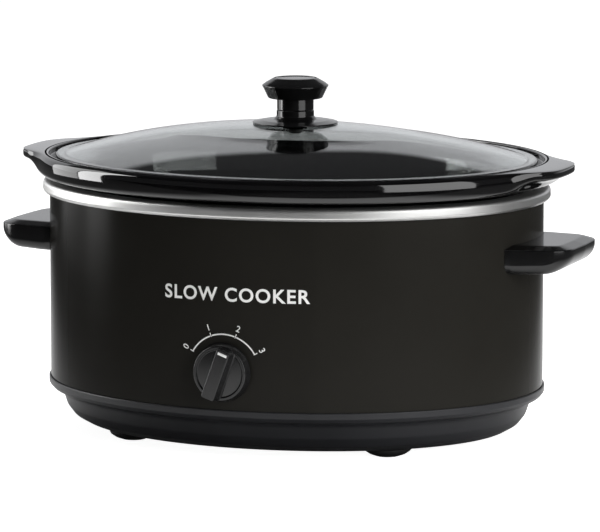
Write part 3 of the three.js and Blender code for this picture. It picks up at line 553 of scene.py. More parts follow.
# ---- heating well and its rolled ring ------------------------------------------------------------
# A deep-drawn aluminium well whose mouth is rolled outwards over the top of the wrap. The roll shows
# as a bright band under the crock; fine lines from polishing run round it.
WELL_T = 0.8
RING_OUT = 5
RING_H = 9
RING_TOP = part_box("heating_well")[1].z / MM
WELL_FLOOR = 66
WALL_FOOT = WELL_FLOOR + 20
WALL_MOUTH = RING_TOP - 8
FOOT_INSET = 34
MOUTH_INSET = 14

# Polishing leaves fine lines that run round a drawn or turned piece: noise drawn out sideways.
polish_group, given, result = new_group(
    "polish_lines",
    [("Float", "Scale", 1500.0), ("Float", "Gloss Low", 0.2), ("Float", "Gloss High", 0.35)],
    [("Float", "Roughness"), ("Float", "Height")],
)
where = add_node(polish_group, "ShaderNodeTexCoord")
drawn_out = add_node(polish_group, "ShaderNodeVectorMath", operation="MULTIPLY")
drawn_out.inputs[1].default_value = (0.02, 0.02, 1)
join(polish_group, where.outputs["Object"], drawn_out.inputs[0])
lines = add_node(polish_group, "ShaderNodeTexNoise")
lines.inputs["Detail"].default_value = 4
lines.inputs["Roughness"].default_value = 0.7
join(polish_group, drawn_out.outputs[0], lines.inputs["Vector"])
join(polish_group, given.outputs["Scale"], lines.inputs["Scale"])
gloss_from(polish_group, given, result, lines.outputs["Fac"], 0.3, 0.7)
join(polish_group, lines.outputs["Fac"], result.inputs["Height"])


def metal(name, bright, painted_floor_matt, gloss, lines, depth):
    """A polished metal, with fine lines in place of the grain."""
    return finish(name, bright, painted_floor_matt, 16, gloss, lines, depth, surface=polish_group, Metallic=1.0)


polished_aluminium = metal(
    "polished_aluminium", (0.72, 0.72, 0.71), (0.64, 0.64, 0.63), (0.38, 0.48), 1500, 0.006
)


def well_wall(z):
    """Half length of the well wall's middle between its foot and its mouth."""
    share = (z - WALL_FOOT) / (WALL_MOUTH - WALL_FOOT)
    return WRAP_A - FOOT_INSET + (FOOT_INSET - MOUTH_INSET) * share


def sheet_section(path, thickness):
    """The closed outline of a sheet whose middle follows a path of points."""
    sides = [[], []]
    for i, point in enumerate(path):
        along = (path[min(i + 1, len(path) - 1)] - path[max(i - 1, 0)]).normalized()
        across = Vector((along.y, -along.x)) * thickness / 2
        sides[0].append(point + across)
        sides[1].append(point - across)
    for side in sides:
        if path[0].x < 1e-6:
            side[0].x = 0
    return sides[0] + sides[1][::-1]


ring_foot = RING_TOP - RING_H
well_path = eased(
    [
        (0, WELL_FLOOR - WELL_T / 2), (WRAP_A - 55, WELL_FLOOR - WELL_T / 2, 8),
        (WRAP_A - 40, WELL_FLOOR + 4, 14), (well_wall(WALL_FOOT), WALL_FOOT, 20),
        (well_wall(WALL_MOUTH), WALL_MOUTH, 5), (WRAP_A - 10.5, RING_TOP - WELL_T / 2, 4),
        (WRAP_A + RING_OUT - 0.6, RING_TOP - WELL_T / 2, 2.6),
        (WRAP_A + RING_OUT - 0.4, ring_foot + 2.4, 1.6), (WRAP_A + 2.9, ring_foot + 0.6, 1.2),
        (WRAP_A + 0.7, ring_foot + 0.5),
    ],
    steps=7,
)
well = make(
    "heating_well_and_ring",
    oval_skin(sheet_section(well_path, WELL_T), closed_section=False),
    polished_aluminium,
)
fit(well, "housing", "bright_aluminium", "heating_well")

# ---- base tray and feet --------------------------------------------------------------------------
# A moulded tray in charcoal plastic. Its upper band holds the foot of the wrap, and it draws in to
# a flat floor on four soft rubber feet pushed through it from below.
TRAY_FLOOR = 7
TRAY_TOP = 39
TRAY_T = 2.5
TRAY_OUT = WRAP_A + 1.3
TRAY_IN = WRAP_A - 25
GROOVE_IN = WRAP_A - 1.7
GROOVE_OUT = WRAP_A + 0.3
BAND_FOOT = TRAY_TOP - 5.5
LEDGE = wrap_foot - 0.3

base_plastic = finish(
    "charcoal_plastic", (0.0150, 0.0153, 0.0172), (0.0190, 0.0194, 0.0216), 12,
    (0.30, 0.40), 1600, 0.010, Specular_IOR_Level=0.30,
)
tray_section = eased(
    [
        (0, TRAY_FLOOR), (TRAY_IN, TRAY_FLOOR, 4), (TRAY_IN + 8, TRAY_FLOOR + 4.5, 8),
        (TRAY_IN + 13, TRAY_FLOOR + 11, 8), (TRAY_IN + 16.5, BAND_FOOT - 5, 6),
        (TRAY_OUT - 2.2, BAND_FOOT - 1.7, 1.6), (TRAY_OUT, BAND_FOOT + 1, 1),
        (TRAY_OUT, TRAY_TOP, 0.8), (GROOVE_OUT, TRAY_TOP), (GROOVE_OUT, LEDGE), (GROOVE_IN, LEDGE),
        (GROOVE_IN, BAND_FOOT - 0.5), (TRAY_IN + 13.5, BAND_FOOT - 4, 4),
        (TRAY_IN + 9.5, TRAY_FLOOR + TRAY_T + 8, 8), (TRAY_IN + 3.5, TRAY_FLOOR + TRAY_T + 1.5, 5),
        (TRAY_IN - 4, TRAY_FLOOR + TRAY_T, 4), (0, TRAY_FLOOR + TRAY_T),
    ],
    steps=6,
)
tray = make("base_tray_moulding", oval_skin(tray_section, False), base_plastic)
STUD_HOLE_R = 3 * MM
FOOT_HOLE_R = 3.5 * MM
BELOW_FLOOR = 2 * MM
ABOVE_FLOOR = 14 * MM
holes = [rod(STUD_HOLE_R, (0, AXIS_Y, BELOW_FLOOR), (0, AXIS_Y, ABOVE_FLOOR))]
feet = [f"foot_{side}_{end}" for side in ("front", "rear") for end in ("left", "right")]
foot_centres = {}
for foot in feet:
    low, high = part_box(foot)
    foot_centres[foot] = ((low.x + high.x) / 2, (low.y + high.y) / 2)
    x, y = foot_centres[foot]
    holes.append(rod(FOOT_HOLE_R, (x, y, BELOW_FLOOR), (x, y, ABOVE_FLOOR)))
VENT_PITCH = 14
VENT_ROW = 46
vent_reach = Vector((1.6, 16, 6)) * MM
for row in (-1, 1):
    for i in range(-3, 4):
        middle = Vector((i * VENT_PITCH * MM, AXIS_Y + row * VENT_ROW * MM, 8 * MM))
        holes.append(box_tool(middle - vent_reach, middle + vent_reach))
cut_with(tray, holes)
fit(tray, "housing", "base_plastic", "base_tray")

foot_rubber = finish(
    "foot_rubber", (0.012, 0.012, 0.012), (0.019, 0.019, 0.018), 40, (0.62, 0.78), 1300, 0.03,
    Specular_IOR_Level=0.35,
)
FOOT_R = 18
FOOT_TOP = TRAY_FLOOR - 0.3
PLUG_R = 3.2
BARB_Z = TRAY_FLOOR + 2.8
foot_section = eased(
    [
        (0, 0.6), (4.6, 0.6, 0.5), (5.2, 0, 0.4), (8.5, 0, 1.5), (13.3, 1.7, 3), (16.9, 4.2, 3),
        (FOOT_R, FOOT_TOP, 0.8), (PLUG_R, FOOT_TOP), (PLUG_R, BARB_Z), (4.6, BARB_Z, 0.5),
        (2.4, BARB_Z + 3.7, 0.5), (0, BARB_Z + 3.7),
    ],
    steps=4,
)
for foot in feet:
    x, y = foot_centres[foot]
    rubber = make(foot + "_rubber", round_skin(foot_section, (x, y, 0), False, 56), foot_rubber)
    fit(rubber, "housing", "foot_rubber", foot)

# ---- handles -------------------------------------------------------------------------------------
# Two solid phenolic lugs with a flat top, a sloping border round it, a rounded nose and a belly that
# rises to the tip. Each is drawn against the wrap by two screws from inside.
HANDLE_TOP = RING_TOP - 33.6
HANDLE_TIP = WRAP_A + 37
HANDLE_ROOT_H = 21
HANDLE_TIP_H = 14
ROOT_HALF = 47
TIP_HALF = 41
BORDER_W = 9
BORDER_DROP = 2.4
BELLY_EDGE = 7.5
TOP_EDGE = BORDER_W + 1.4
ROOT_CLEAR = 0.3

moulded_black = finish(
    "moulded_black_plastic", (0.0036, 0.0036, 0.0038), (0.0052, 0.0052, 0.0054), 18,
    (0.11, 0.17), 1500, 0.003, Specular_IOR_Level=0.5,
)
handle_plan = eased(
    [
        (WRAP_A - 30, -ROOT_HALF), (WRAP_A - 5, -ROOT_HALF, 6), (HANDLE_TIP - 1.5, -TIP_HALF, 21),
        (HANDLE_TIP, 0, 60), (HANDLE_TIP - 1.5, TIP_HALF, 21), (WRAP_A - 5, ROOT_HALF, 6),
        (WRAP_A - 30, ROOT_HALF),
    ],
    steps=14,
)
belly_line = eased(
    [
        (WRAP_A - 60, HANDLE_TOP - HANDLE_ROOT_H), (WRAP_A, HANDLE_TOP - HANDLE_ROOT_H, 14),
        (HANDLE_TIP - 15, HANDLE_TOP - HANDLE_ROOT_H * 0.95, 24),
        (HANDLE_TIP - 3, HANDLE_TOP - HANDLE_TIP_H, 12),
        (HANDLE_TIP + 5, HANDLE_TOP - HANDLE_TIP_H + 5),
    ],
    steps=8,
)


def height_on(line, x):
    """Height of a line of points above a place along it."""
    for a, b in zip(line, line[1:]):
        if a.x <= x <= b.x:
            return a.y + (b.y - a.y) * (x - a.x) / max(b.x - a.x, 1e-9)
    return line[-1].y if x > line[-1].x else line[0].y


def resampled(line, spacing):
    """The same line with points no further apart than spacing."""
    points = []
    for a, b in zip(line, line[1:]):
        count = max(1, math.ceil((b - a).length / spacing))
        points += [a.lerp(b, i / count) for i in range(count)]
    return points + [line[-1]]


def inset_plan(plan, amount):
    """A plan outline drawn in on its sides and nose, open at the root."""
    drawn = []
    for i, point in enumerate(plan):
        along = (plan[min(i + 1, len(plan) - 1)] - plan[max(i - 1, 0)]).normalized()
        drawn.append(point + Vector((-along.y, along.x)) * amount)
    return drawn


def handle_rows():
    """Rows up the handle's side, from the belly's middle round to the top's: (part, inset, step)."""
    rows = [("belly", share * ROOT_HALF, 0) for share in (0.9, 0.7, 0.45, 0.25)]
    for i in range(7):
        bend = math.pi / 2 * i / 6
        rows.append(("belly", BELLY_EDGE * (1 - math.sin(bend)), BELLY_EDGE * (1 - math.cos(bend))))
    rows += [
        ("top", 0, BORDER_DROP + 0.8), ("top", 0.1, BORDER_DROP + 0.4),
        ("top", 0.4, BORDER_DROP + 0.1), ("top", 0.9, BORDER_DROP - 0.1),
        ("top", BORDER_W - 1.4, 0.4), ("top", BORDER_W, 0.1), ("top", TOP_EDGE, 0),
    ]
    return rows + [("top", share * ROOT_HALF, 0) for share in (0.4, 0.6, 0.8, 0.95)]


def handle_skin(end):
    """The lug on the right (end 1) or left (end -1): its rows, closed against the wrap."""
    plan = resampled(handle_plan, 3)
    root_a = WRAP_A + ROOT_CLEAR
    loops = []
    for kind, inset, up in handle_rows():
        edge = BELLY_EDGE if kind == "belly" else TOP_EDGE
        points = inset_plan(plan, min(inset, edge))
        if inset > edge:
            pull = 1 - (inset - edge) / ROOT_HALF
            points = [
                Vector((WRAP_A + (p.x - WRAP_A) * pull if p.x > WRAP_A else p.x, p.y * pull))
                for p in points
            ]
        row = []
        for p in points:
            root = root_a * math.sqrt(max(0, 1 - (p.y / narrow(root_a)) ** 2))
            x = max(p.x, root)
            z = height_on(belly_line, x) + up if kind == "belly" else HANDLE_TOP - up
            row.append(Vector((end * x, end * p.y + AXIS_Y / MM, z)) * MM)
        loops.append(row)
    foot_z, top_z = loops[0][0].z, loops[-1][0].z
    loops = [
        [Vector((end * root_a * MM, AXIS_Y, foot_z))], *loops,
        [Vector((end * root_a * MM, AXIS_Y, top_z))],
    ]
    mesh = skin(loops, False, closed_around=False)
    bmesh.ops.remove_doubles(mesh, verts=mesh.verts[:], dist=0.02 * MM)
    bmesh.ops.holes_fill(mesh, edges=[e for e in mesh.edges if e.is_boundary], sides=0)
    bmesh.ops.recalc_face_normals(mesh, faces=mesh.faces[:])
    return mesh


for side, end in (("right", 1), ("left", -1)):
    lug = make(f"handle_{side}_lug", handle_skin(end), moulded_black)
    fit(lug, "housing", "black_plastic", "handle_" + side)

# ---- control knob --------------------------------------------------------------------------------
# A moulded knob: a low skirt with a dished face and a tapered grip bar across it. It is pushed on
# the switch's shaft, and a white pointer is let into the end of the bar.
DIAL_R = 21.6
FACE_R = 19.2
SKIRT_Z = 1.4
SKIRT_TOP = 8.4
GRIP_TOP = 16.4
POINTER_W = 7
POINTER_L = 1.8
POINTER_Y = 15.7
POINTER_T = 0.8
POINTER_CLEAR = 0.15
DIAL_REST = math.radians(20)
knob_plastic = finish(
    "knob_black_plastic", (0.0070, 0.0070, 0.0073), (0.0095, 0.0095, 0.0098), 30,
    (0.16, 0.23), 1500, 0.003, Specular_IOR_Level=0.5,
)
dial_place = (
    Matrix.Translation((0, wrap_low.y, dial_z))
    @ Matrix.Rotation(DIAL_REST, 4, "Y")
    @ Matrix.Rotation(math.radians(90), 4, "X")
)
skirt_section = eased(
    [
        (0, SKIRT_Z), (DIAL_R, SKIRT_Z, 0.6), (FACE_R + 0.3, SKIRT_TOP, 0.9),
        (FACE_R - 1.6, SKIRT_TOP, 0.5), (FACE_R - 2.4, SKIRT_TOP - 0.7, 0.8), (0, SKIRT_TOP + 0.3),
    ],
    steps=5,
)
skirt = round_skin(skirt_section, (0, 0, 0), False)


def bar_row(half_w, half_l, height, corner):
    """A level outline of the grip bar: a long rectangle with rounded ends."""
    line = eased(
        [
            (-half_w, -half_l, corner), (half_w, -half_l, corner),
            (half_w, half_l, corner), (-half_w, half_l, corner),
        ],
        steps=8, closed=True,
    )
    return [Vector((p.x, p.y, height)) * MM for p in line]


bar_rows = [
    (7.6, 18.9, SKIRT_TOP - 1.2, 3.4), (7.2, 18.9, SKIRT_TOP - 0.2, 3.4),
    (6.4, 18.8, SKIRT_TOP + 0.5, 3.2), (5.9, 18.75, SKIRT_TOP + 1.4, 3.0),
    (5.1, 18.6, GRIP_TOP - 1.2, 2.2), (4.98, 18.55, GRIP_TOP - 0.55, 2.0),
    (4.8, 18.4, GRIP_TOP - 0.2, 1.8), (4.55, 18.2, GRIP_TOP - 0.05, 1.7),
    (4.25, 18.0, GRIP_TOP, 1.6),
]
bar = skin([bar_row(*row) for row in bar_rows], False)
bmesh.ops.holes_fill(bar, edges=[e for e in bar.edges if e.is_boundary], sides=0)
bmesh.ops.recalc_face_normals(bar, faces=bar.faces[:])
grip = make("grip", bar, knob_plastic)
slot_reach = Vector((POINTER_W / 2 + POINTER_CLEAR, POINTER_L / 2 + POINTER_CLEAR, POINTER_T)) * MM
slot_middle = Vector((0, POINTER_Y, GRIP_TOP)) * MM
cut_with(grip, [box_tool(slot_middle - slot_reach, slot_middle + slot_reach)])
skirt.from_mesh(grip.data)
skirt.transform(dial_place)
knob = make("control_knob_moulding", skirt, knob_plastic, crease=50)
bpy.data.objects.remove(grip)
fit(knob, "control", "black_plastic", "control_knob")

# ---- print on the wrap ---------------------------------------------------------------------------
# White screen print: an arc round the knob with a mark and a plain number at each of its four
# settings, and the kind of appliance in plain spaced capitals above it.
INK_LIFT = 0.12
ARC_R = 27
ARC_W = 1.0
MARK_IN = 0.9
MARK_OUT = 2.2
MARK_HALF = 0.3
ARC_GAP = 1.6
NUMBER_R = 33
NUMBER_H = 4.4
NUMBER_WEIGHT = 0.06
CAPITAL_SHARE = 0.69  # height of a capital over the size of the type
SETTINGS = (-60, -20, 20, 60)

ink = finish(
    "white_ink", (0.93, 0.93, 0.91), (0.84, 0.84, 0.82), 60, (0.42, 0.5), 1500, 0.002,
)


def on_wrap(x, z):
    """A point on the front of the wrap, from its place across and up."""
    return Vector((x, -oval_y(WRAP_A + INK_LIFT, x) + AXIS_Y / MM, z)) * MM


def arc_band(mesh, start, stop, inner, outer, steps=14):
    """A printed band round the knob's axis, between two turns and two radii."""
    rows = []
    for i in range(steps + 1):
        turn = math.radians(start + (stop - start) * i / steps)
        across, up = math.sin(turn), math.cos(turn)
        rows.append([
            mesh.verts.new(on_wrap(r * across, dial_z / MM + r * up)) for r in (inner, outer)
        ])
    for a, b in zip(rows, rows[1:]):
        mesh.faces.new((a[0], a[1], b[1], b[0]))


def lettering(text, height, spacing=1.0, weight=0.0):
    """Flat letters in millimetres, centred, from the plain built-in face."""
    font = bpy.data.curves.new("letters", "FONT")
    font.body = text
    font.size = height / CAPITAL_SHARE
    font.space_character = spacing
    font.align_x = "CENTER"
    font.align_y = "CENTER"
    font.resolution_u = 6
    font.offset = weight
    stencil = bpy.data.objects.new("letters", font)
    bpy.context.scene.collection.objects.link(stencil)
    bpy.context.view_layer.update()
    shaped = stencil.evaluated_get(bpy.context.evaluated_depsgraph_get())
    data = bpy.data.meshes.new_from_object(shaped)
    bpy.data.objects.remove(stencil)
    return data


def print_mesh(mesh, data, place):
    """Lays flat letters on the wrap; place takes a letter point to (across, up)."""
    verts = [mesh.verts.new(on_wrap(*place(v.co.x, v.co.y))) for v in data.vertices]
    for face in data.polygons:
        mesh.faces.new([verts[i] for i in face.vertices])
    bpy.data.meshes.remove(data)


def face_out(mesh):
    """Turns every printed face towards the front."""
    bmesh.ops.triangulate(mesh, faces=mesh.faces[:])
    for face in mesh.faces:
        face.normal_update()
        if face.normal.y > 0:
            face.normal_flip()


dial_print = bmesh.new()
for start, stop in (
    (SETTINGS[0], SETTINGS[1] - ARC_GAP), (SETTINGS[1] + ARC_GAP, SETTINGS[2] - ARC_GAP),
    (SETTINGS[2] + ARC_GAP, SETTINGS[3]),
):
    arc_band(dial_print, start, stop, ARC_R - ARC_W / 2, ARC_R + ARC_W / 2)
for i, setting in enumerate(SETTINGS):
    turn = math.radians(setting)
    half = math.degrees(MARK_HALF / ARC_R)
    arc_band(dial_print, setting - half, setting + half, ARC_R - MARK_IN, ARC_R + MARK_OUT, 1)
    x0, z0 = NUMBER_R * math.sin(turn), dial_z / MM + NUMBER_R * math.cos(turn)

    def place(x, y, turn=turn, x0=x0, z0=z0):
        return (
            x0 + x * math.cos(turn) + y * math.sin(turn),
            z0 - x * math.sin(turn) + y * math.cos(turn),
        )

    print_mesh(dial_print, lettering(str(i), NUMBER_H, weight=NUMBER_WEIGHT), place)
face_out(dial_print)
marks = make("dial_print", dial_print, ink)
fit(marks, "housing", "white_ink")

TITLE_X = 8
TITLE_Z = 121.5
TITLE_H = 9.4
TITLE_SPACING = 1.14
TITLE_WEIGHT = 0.3
title = bmesh.new()
print_mesh(
    title, lettering("SLOW COOKER", TITLE_H, TITLE_SPACING, TITLE_WEIGHT),
    lambda x, y: (TITLE_X + x, TITLE_Z + y),
)
face_out(title)
fit(make("plain_title_print", title, ink), "housing", "white_ink")

# ---- crock ---------------------------------------------------------------------------------------
# Cast stoneware under a glossy black glaze. A heavy rim hangs over the ring, its ends draw out into
# two flat ears, and a ledge inside the rim carries the lid.
RIM_Z = RING_TOP + 2.9
CROCK_TOP = RIM_Z + 17
RIM_OUT = WRAP_A + 7
RIM_IN = RIM_OUT - 6.5
EAR_TIP = WRAP_A + 23.5
LID_EDGE_Z = CROCK_TOP - 0.5
LID_SEAT = LID_EDGE_Z - 4.3
CROCK_FOOT = WELL_FLOOR + 0.3
CROCK_T = 7.5
WELL_CLEAR = 3
INSIDE_FLOOR_R = 109
FOOT_RING_R = 119
EAR_CORNER = (EAR_TIP - 1.2, 34)
EAR_FLANK = (EAR_TIP - 30, 57)
EAR_ROOT = (EAR_TIP - 58, 72)
EAR_ROUND = 26  # higher is a sharper corner on the ear
EAR_BLEND = 34  # higher is a sharper corner where the ear meets the rim
EAR_SWELL = 11  # how far out the heavy rim has become a thin ear


def line_reach(near, far, c, s):
    """Half length of the oval that meets a straight edge in plan in one direction."""
    across, along = far[1] - near[1], near[0] - far[0]
    size = math.hypot(across, along)
    nx, ny = across / size, along / size
    away = nx * near[0] + ny * near[1]
    return (away + ny * (WRAP_A - WRAP_B) * s) / (nx * c + ny * s)


def rim_reach(turn):
    """Half length of the rim's outer edge in one direction, with the ears drawn out of it."""
    c, s = abs(math.cos(turn)), abs(math.sin(turn))
    edges = [
        EAR_TIP / max(c, 1e-6), line_reach(EAR_CORNER, EAR_FLANK, c, s),
        line_reach(EAR_FLANK, EAR_ROOT, c, s),
    ]
    small = min(edges)
    ear = small * sum((small / edge) ** EAR_ROUND for edge in edges) ** (-1 / EAR_ROUND)
    if narrow(RIM_OUT) * s > EAR_ROOT[1]:  # past the ear's root only the rim is left
        ear = min(ear, RIM_OUT * 0.95)
    large = max(ear, RIM_OUT)
    return large * ((ear / large) ** EAR_BLEND + (RIM_OUT / large) ** EAR_BLEND) ** (1 / EAR_BLEND)


def crock_wall(z):
    """Half length of the crock's outer wall at one height."""
    return well_wall(z) - WELL_T / 2 - WELL_CLEAR


def smooth_line(points, steps):
    """A smooth line through points, with so many steps between each two."""
    line = []
    for i in range(len(points) - 1):
        p0, p1 = points[max(i - 1, 0)], points[i]
        p2, p3 = points[i + 1], points[min(i + 2, len(points) - 1)]
        for step in range(steps):
            t = step / steps
            line.append(
                0.5 * (
                    2 * p1 + (p2 - p0) * t + (2 * p0 - 5 * p1 + 4 * p2 - p3) * t**2
                    + (3 * p1 - p0 - 3 * p2 + p3) * t**3
                )
            )
    return line + [points[-1]]


foot_a, neck_a = crock_wall(WALL_FOOT), crock_wall(WALL_MOUTH)
crock_inside = eased(
    [
        (0, CROCK_FOOT + 9), (INSIDE_FLOOR_R, CROCK_FOOT + 9, 16), (foot_a - 16, CROCK_FOOT + 13.2, 12),
        (foot_a - 8.5, CROCK_FOOT + 24.7, 12), (neck_a - CROCK_T, WALL_MOUTH, 12),
        (neck_a - CROCK_T + 2, LID_SEAT - 7, 5), (RIM_IN - 10, LID_SEAT - 1, 4),
        (RIM_IN, LID_SEAT, 1.2), (RIM_IN, CROCK_TOP, 1.3), (RIM_IN + 3, CROCK_TOP),
    ],
    steps=6,
)
crock_outside = eased(
    [
        (neck_a + 4, RIM_Z), (neck_a + 0.6, RIM_Z, 2), (neck_a, WALL_MOUTH, 4),
        (foot_a, WALL_FOOT + 3, 14), (foot_a - 7, CROCK_FOOT + 8, 8), (FOOT_RING_R, CROCK_FOOT, 3),
        (FOOT_RING_R - 6, CROCK_FOOT, 0.6), (FOOT_RING_R - 8, CROCK_FOOT + 2, 0.6),
        (0, CROCK_FOOT + 2),
    ],
    steps=6,
)


def rim_line(reach):
    """The rim's outer profile from its top round to its foot, at one outward reach."""
    out = max(0, reach - RIM_OUT)
    w = min(1, out / EAR_SWELL)
    w = w * w * (3 - 2 * w)
    points = [
        (RIM_IN + 1.6, CROCK_TOP), (reach - 3.0 + 0.8 * w, CROCK_TOP - 0.45),
        (reach - 0.9 + 0.5 * w, CROCK_TOP - 2.2 + 0.6 * w), (reach, CROCK_TOP - 5.5 + 1.8 * w),
        (reach - 0.05 - 0.9 * w, CROCK_TOP - 10.6 + 3.8 * w),
        (reach - 0.9 - (3.0 + 0.25 * out) * w, CROCK_TOP - 14.4 + 5.2 * w),
        (RIM_OUT - 3.0 + 0.35 * out * w, RIM_Z + 0.7 + 2.4 * w),
        (RIM_OUT - 7.5 + 1.5 * w, RIM_Z + 0.1 + 0.3 * w),
    ]
    return smooth_line([Vector(p) for p in points], 5)


# The sections stand closer together at the ears than along the sides.
EAR_STEP = 0.6
EAR_STEPS = 51
SIDE_STEPS = 33
ear_span = EAR_STEP * EAR_STEPS
quarter = [math.radians(EAR_STEP * i) for i in range(EAR_STEPS)]
quarter += [
    math.radians(ear_span + (90 - ear_span) * (i + 0.5) / SIDE_STEPS) for i in range(SIDE_STEPS)
]
whole = 2 * math.pi
rim_turns = sorted(
    {round(turn % whole, 9) for t in quarter for turn in (t, math.pi - t, math.pi + t, whole - t)}
)
profiles = [crock_inside + rim_line(rim_reach(turn)) + crock_outside for turn in rim_turns]
crock_loops = []
for row, first in enumerate(profiles[0]):
    if first.x < 1e-6:
        crock_loops.append([oval_point(0, 0, first.y)])
    else:
        crock_loops.append(
            [oval_point(p[row].x, turn, p[row].y) for p, turn in zip(profiles, rim_turns)]
        )
black_glaze = finish(
    "black_glaze", (0.0020, 0.0020, 0.0022), (0.0032, 0.0031, 0.0033), 10,
    (0.045, 0.075), 240, 0.004, Specular_IOR_Level=0.6, Coat_Weight=0.35, Coat_Roughness=0.03,
)
crock = make("crock_stoneware", skin(crock_loops, False), black_glaze, crease=55)
fit(crock, "pot", "black_glaze", "crock")

# ---- glass lid -----------------------------------------------------------------------------------
# A pressed dome of clear tempered glass, 4 mm thick, with a fully rounded edge that drops on the
# crock's ledge. A single hole at its top takes the knob's screw.
LID_R = WRAP_A - 4.5
LID_T = 4
LID_RISE = 24
LID_BORE = 4
DOME_R = LID_R - 7
DOME_END = LID_R - 10.5


def dome(r):
    """Height of the dome's top at one half length."""
    return LID_EDGE_Z + LID_RISE * (1 - (r / DOME_R) ** 2.2)


lid_radii = [LID_BORE + (DOME_END - LID_BORE) * i / 30 for i in range(31)]
lid_top = [Vector((r, dome(r))) for r in lid_radii]
lid_under = [Vector((max(LID_BORE, p.x - 1.5 * p.x / LID_R), p.y - LID_T)) for p in lid_top]
lid_edge = eased(
    [
        tuple(lid_top[-1]), (DOME_R, LID_EDGE_Z, 4), (LID_R, LID_EDGE_Z, 1.9),
        (LID_R, LID_EDGE_Z - LID_T, 1.9), (LID_R - 8.5, LID_EDGE_Z - LID_T, 4), tuple(lid_under[-1]),
    ],
    steps=8,
)
glass = bpy.data.materials.new("clear_glass")
glass.use_nodes = True
tree = glass.node_tree
shader = tree.nodes["Principled BSDF"]
shader.inputs["Base Color"].default_value = (0.93, 0.965, 0.955, 1)
shader.inputs["Transmission Weight"].default_value = 1.0
shader.inputs["IOR"].default_value = 1.5
grain = add_node(tree, "ShaderNodeGroup", node_tree=grain_group)
grain.inputs["Scale"].default_value = 60
grain.inputs["Gloss Low"].default_value = 0.0
grain.inputs["Gloss High"].default_value = 0.02
join(tree, grain.outputs["Roughness"], shader.inputs["Roughness"])
bump = add_node(tree, "ShaderNodeBump")
bump.inputs["Strength"].default_value = 0.2
bump.inputs["Distance"].default_value = 0.004 * MM
join(tree, grain.outputs["Height"], bump.inputs["Height"])
join(tree, bump.outputs["Normal"], shader.inputs["Normal"])
lid_loop = lid_top + lid_edge[1:-1] + lid_under[::-1]
lid = make("lid_glass_dome", oval_skin(lid_loop), glass, crease=60)
fit(lid, "lid", "clear_glass", "lid_glass")

# ---- lid knob ------------------------------------------------------------------------------------
# A moulded knob in three pieces: a wide shield that keeps steam off the fingers, the stem and its
# flared cap, and a plain disc pressed in the cap's top over the screw.
stem_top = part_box("lid_knob_shield")[1].z / MM
knob_low, knob_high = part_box("lid_knob")
disc_low, disc_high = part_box("lid_knob_insert")
stem_foot, crown = knob_low.z / MM, knob_high.z / MM
cap_foot = stem_foot + 8.5
cap_top = cap_foot + 10
disc_foot, disc_top = disc_low.z / MM, disc_high.z / MM
lid_axis = (0, AXIS_Y, 0)
KNOB_BORE = 2.8
STEM_R = 13.4
COLLAR_R = 13.7
flange_z = dome(31.3)
shield_section = eased(
    [
        (KNOB_BORE, dome(0) + 0.3), (12, dome(0) + 0.3, 4), (31.1, flange_z + 0.3, 0.3),
        (31.4, flange_z + 1.2, 0.4), (24, flange_z + 2.6, 10), (15.6, dome(0) + 2.6, 2.4),
        (COLLAR_R, dome(0) + 5, 1.4), (COLLAR_R, stem_top, 0.5), (KNOB_BORE, stem_top),
    ],
    steps=6, closed=True,
)
shield = make("lid_knob_steam_shield", round_skin(shield_section, lid_axis), moulded_black)
fit(shield, "lid", "black_plastic", "lid_knob_shield")
cap_section = eased(
    [
        (KNOB_BORE, stem_foot), (STEM_R, stem_foot, 0.5), (STEM_R, cap_foot, 0.8),
        (19.9, cap_foot, 1.4), (24.5, cap_top - 0.6, 0.9), (21.5, cap_top + 1.6, 5),
        (17, crown - 0.8, 4), (15.3, crown, 0.5), (15.3, crown - 1.8), (KNOB_BORE, crown - 1.8),
        (KNOB_BORE, stem_foot + 12.5),
    ],
    steps=6, closed=True,
)
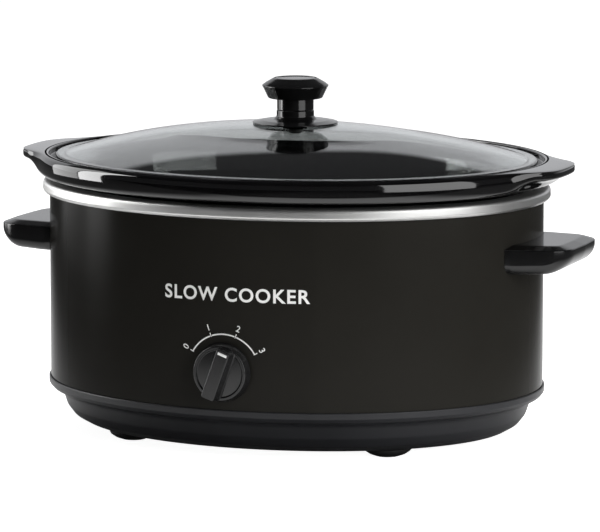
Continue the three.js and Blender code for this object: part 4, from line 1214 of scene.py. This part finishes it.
cap = make("lid_knob_cap", round_skin(cap_section, lid_axis), moulded_black)
fit(cap, "lid", "black_plastic", "lid_knob")
disc_section = eased(
    [
        (0, disc_foot), (15, disc_foot), (15, disc_top - 0.5, 0.3), (13.4, disc_top - 0.1, 0.8),
        (12.4, disc_top - 0.5, 0.8), (0, disc_top - 0.3),
    ],
    steps=5,
)
disc = make("lid_knob_disc", round_skin(disc_section, lid_axis, False), moulded_black)
fit(disc, "lid", "black_plastic", "lid_knob_insert")

# ---- inner works ---------------------------------------------------------------------------------
# The pieces inside keep the frame's shapes. Each gets the finish of what it is made of: plated steel,
# brass tabs, glass wool, sleeved leads and phenolic mouldings.
plated_steel = metal("plated_steel", (0.62, 0.62, 0.61), (0.48, 0.48, 0.47), (0.28, 0.45), 900, 0.01)
brass = metal("brass", (0.72, 0.52, 0.22), (0.60, 0.42, 0.17), (0.25, 0.4), 900, 0.006)
glass_wool = finish(
    "glass_wool", (0.72, 0.68, 0.55), (0.56, 0.51, 0.40), 60, (0.9, 1.0), 420, 0.6
)
lead_sleeve = finish(
    "silicone_sleeve", (0.74, 0.70, 0.62), (0.66, 0.62, 0.54), 40, (0.5, 0.62), 1600, 0.02
)
phenolic = finish(
    "brown_phenolic", (0.055, 0.032, 0.02), (0.085, 0.05, 0.03), 80, (0.42, 0.55), 1200, 0.02
)
inner_finishes = [
    (plated_steel, "handle_screw heater_band band_spring heat_shield centre shield_ earth_screw"
                   " thermal_fuse fuse_strap switch_screw terminal_screw switch_shaft knob_clip"
                   " lid_screw"),
    (brass, "band_tab earth_tag switch_tab"),
    (glass_wool, "band_insulation"),
    (lead_sleeve, "lead_"),
    (phenolic, "rotary_switch terminal_block"),
    (moulded_black, "cord_gland gland_nut"),
    (foot_rubber, "lid_washer"),
    (ink, "knob_pointer"),
]
for name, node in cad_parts.items():
    if node.hide_render:
        continue
    for material, beginnings in inner_finishes:
        if name.startswith(tuple(beginnings.split())):
            node.data.materials.clear()
            node.data.materials.append(material)
            break
    else:
        raise RuntimeError("no finish for " + name)
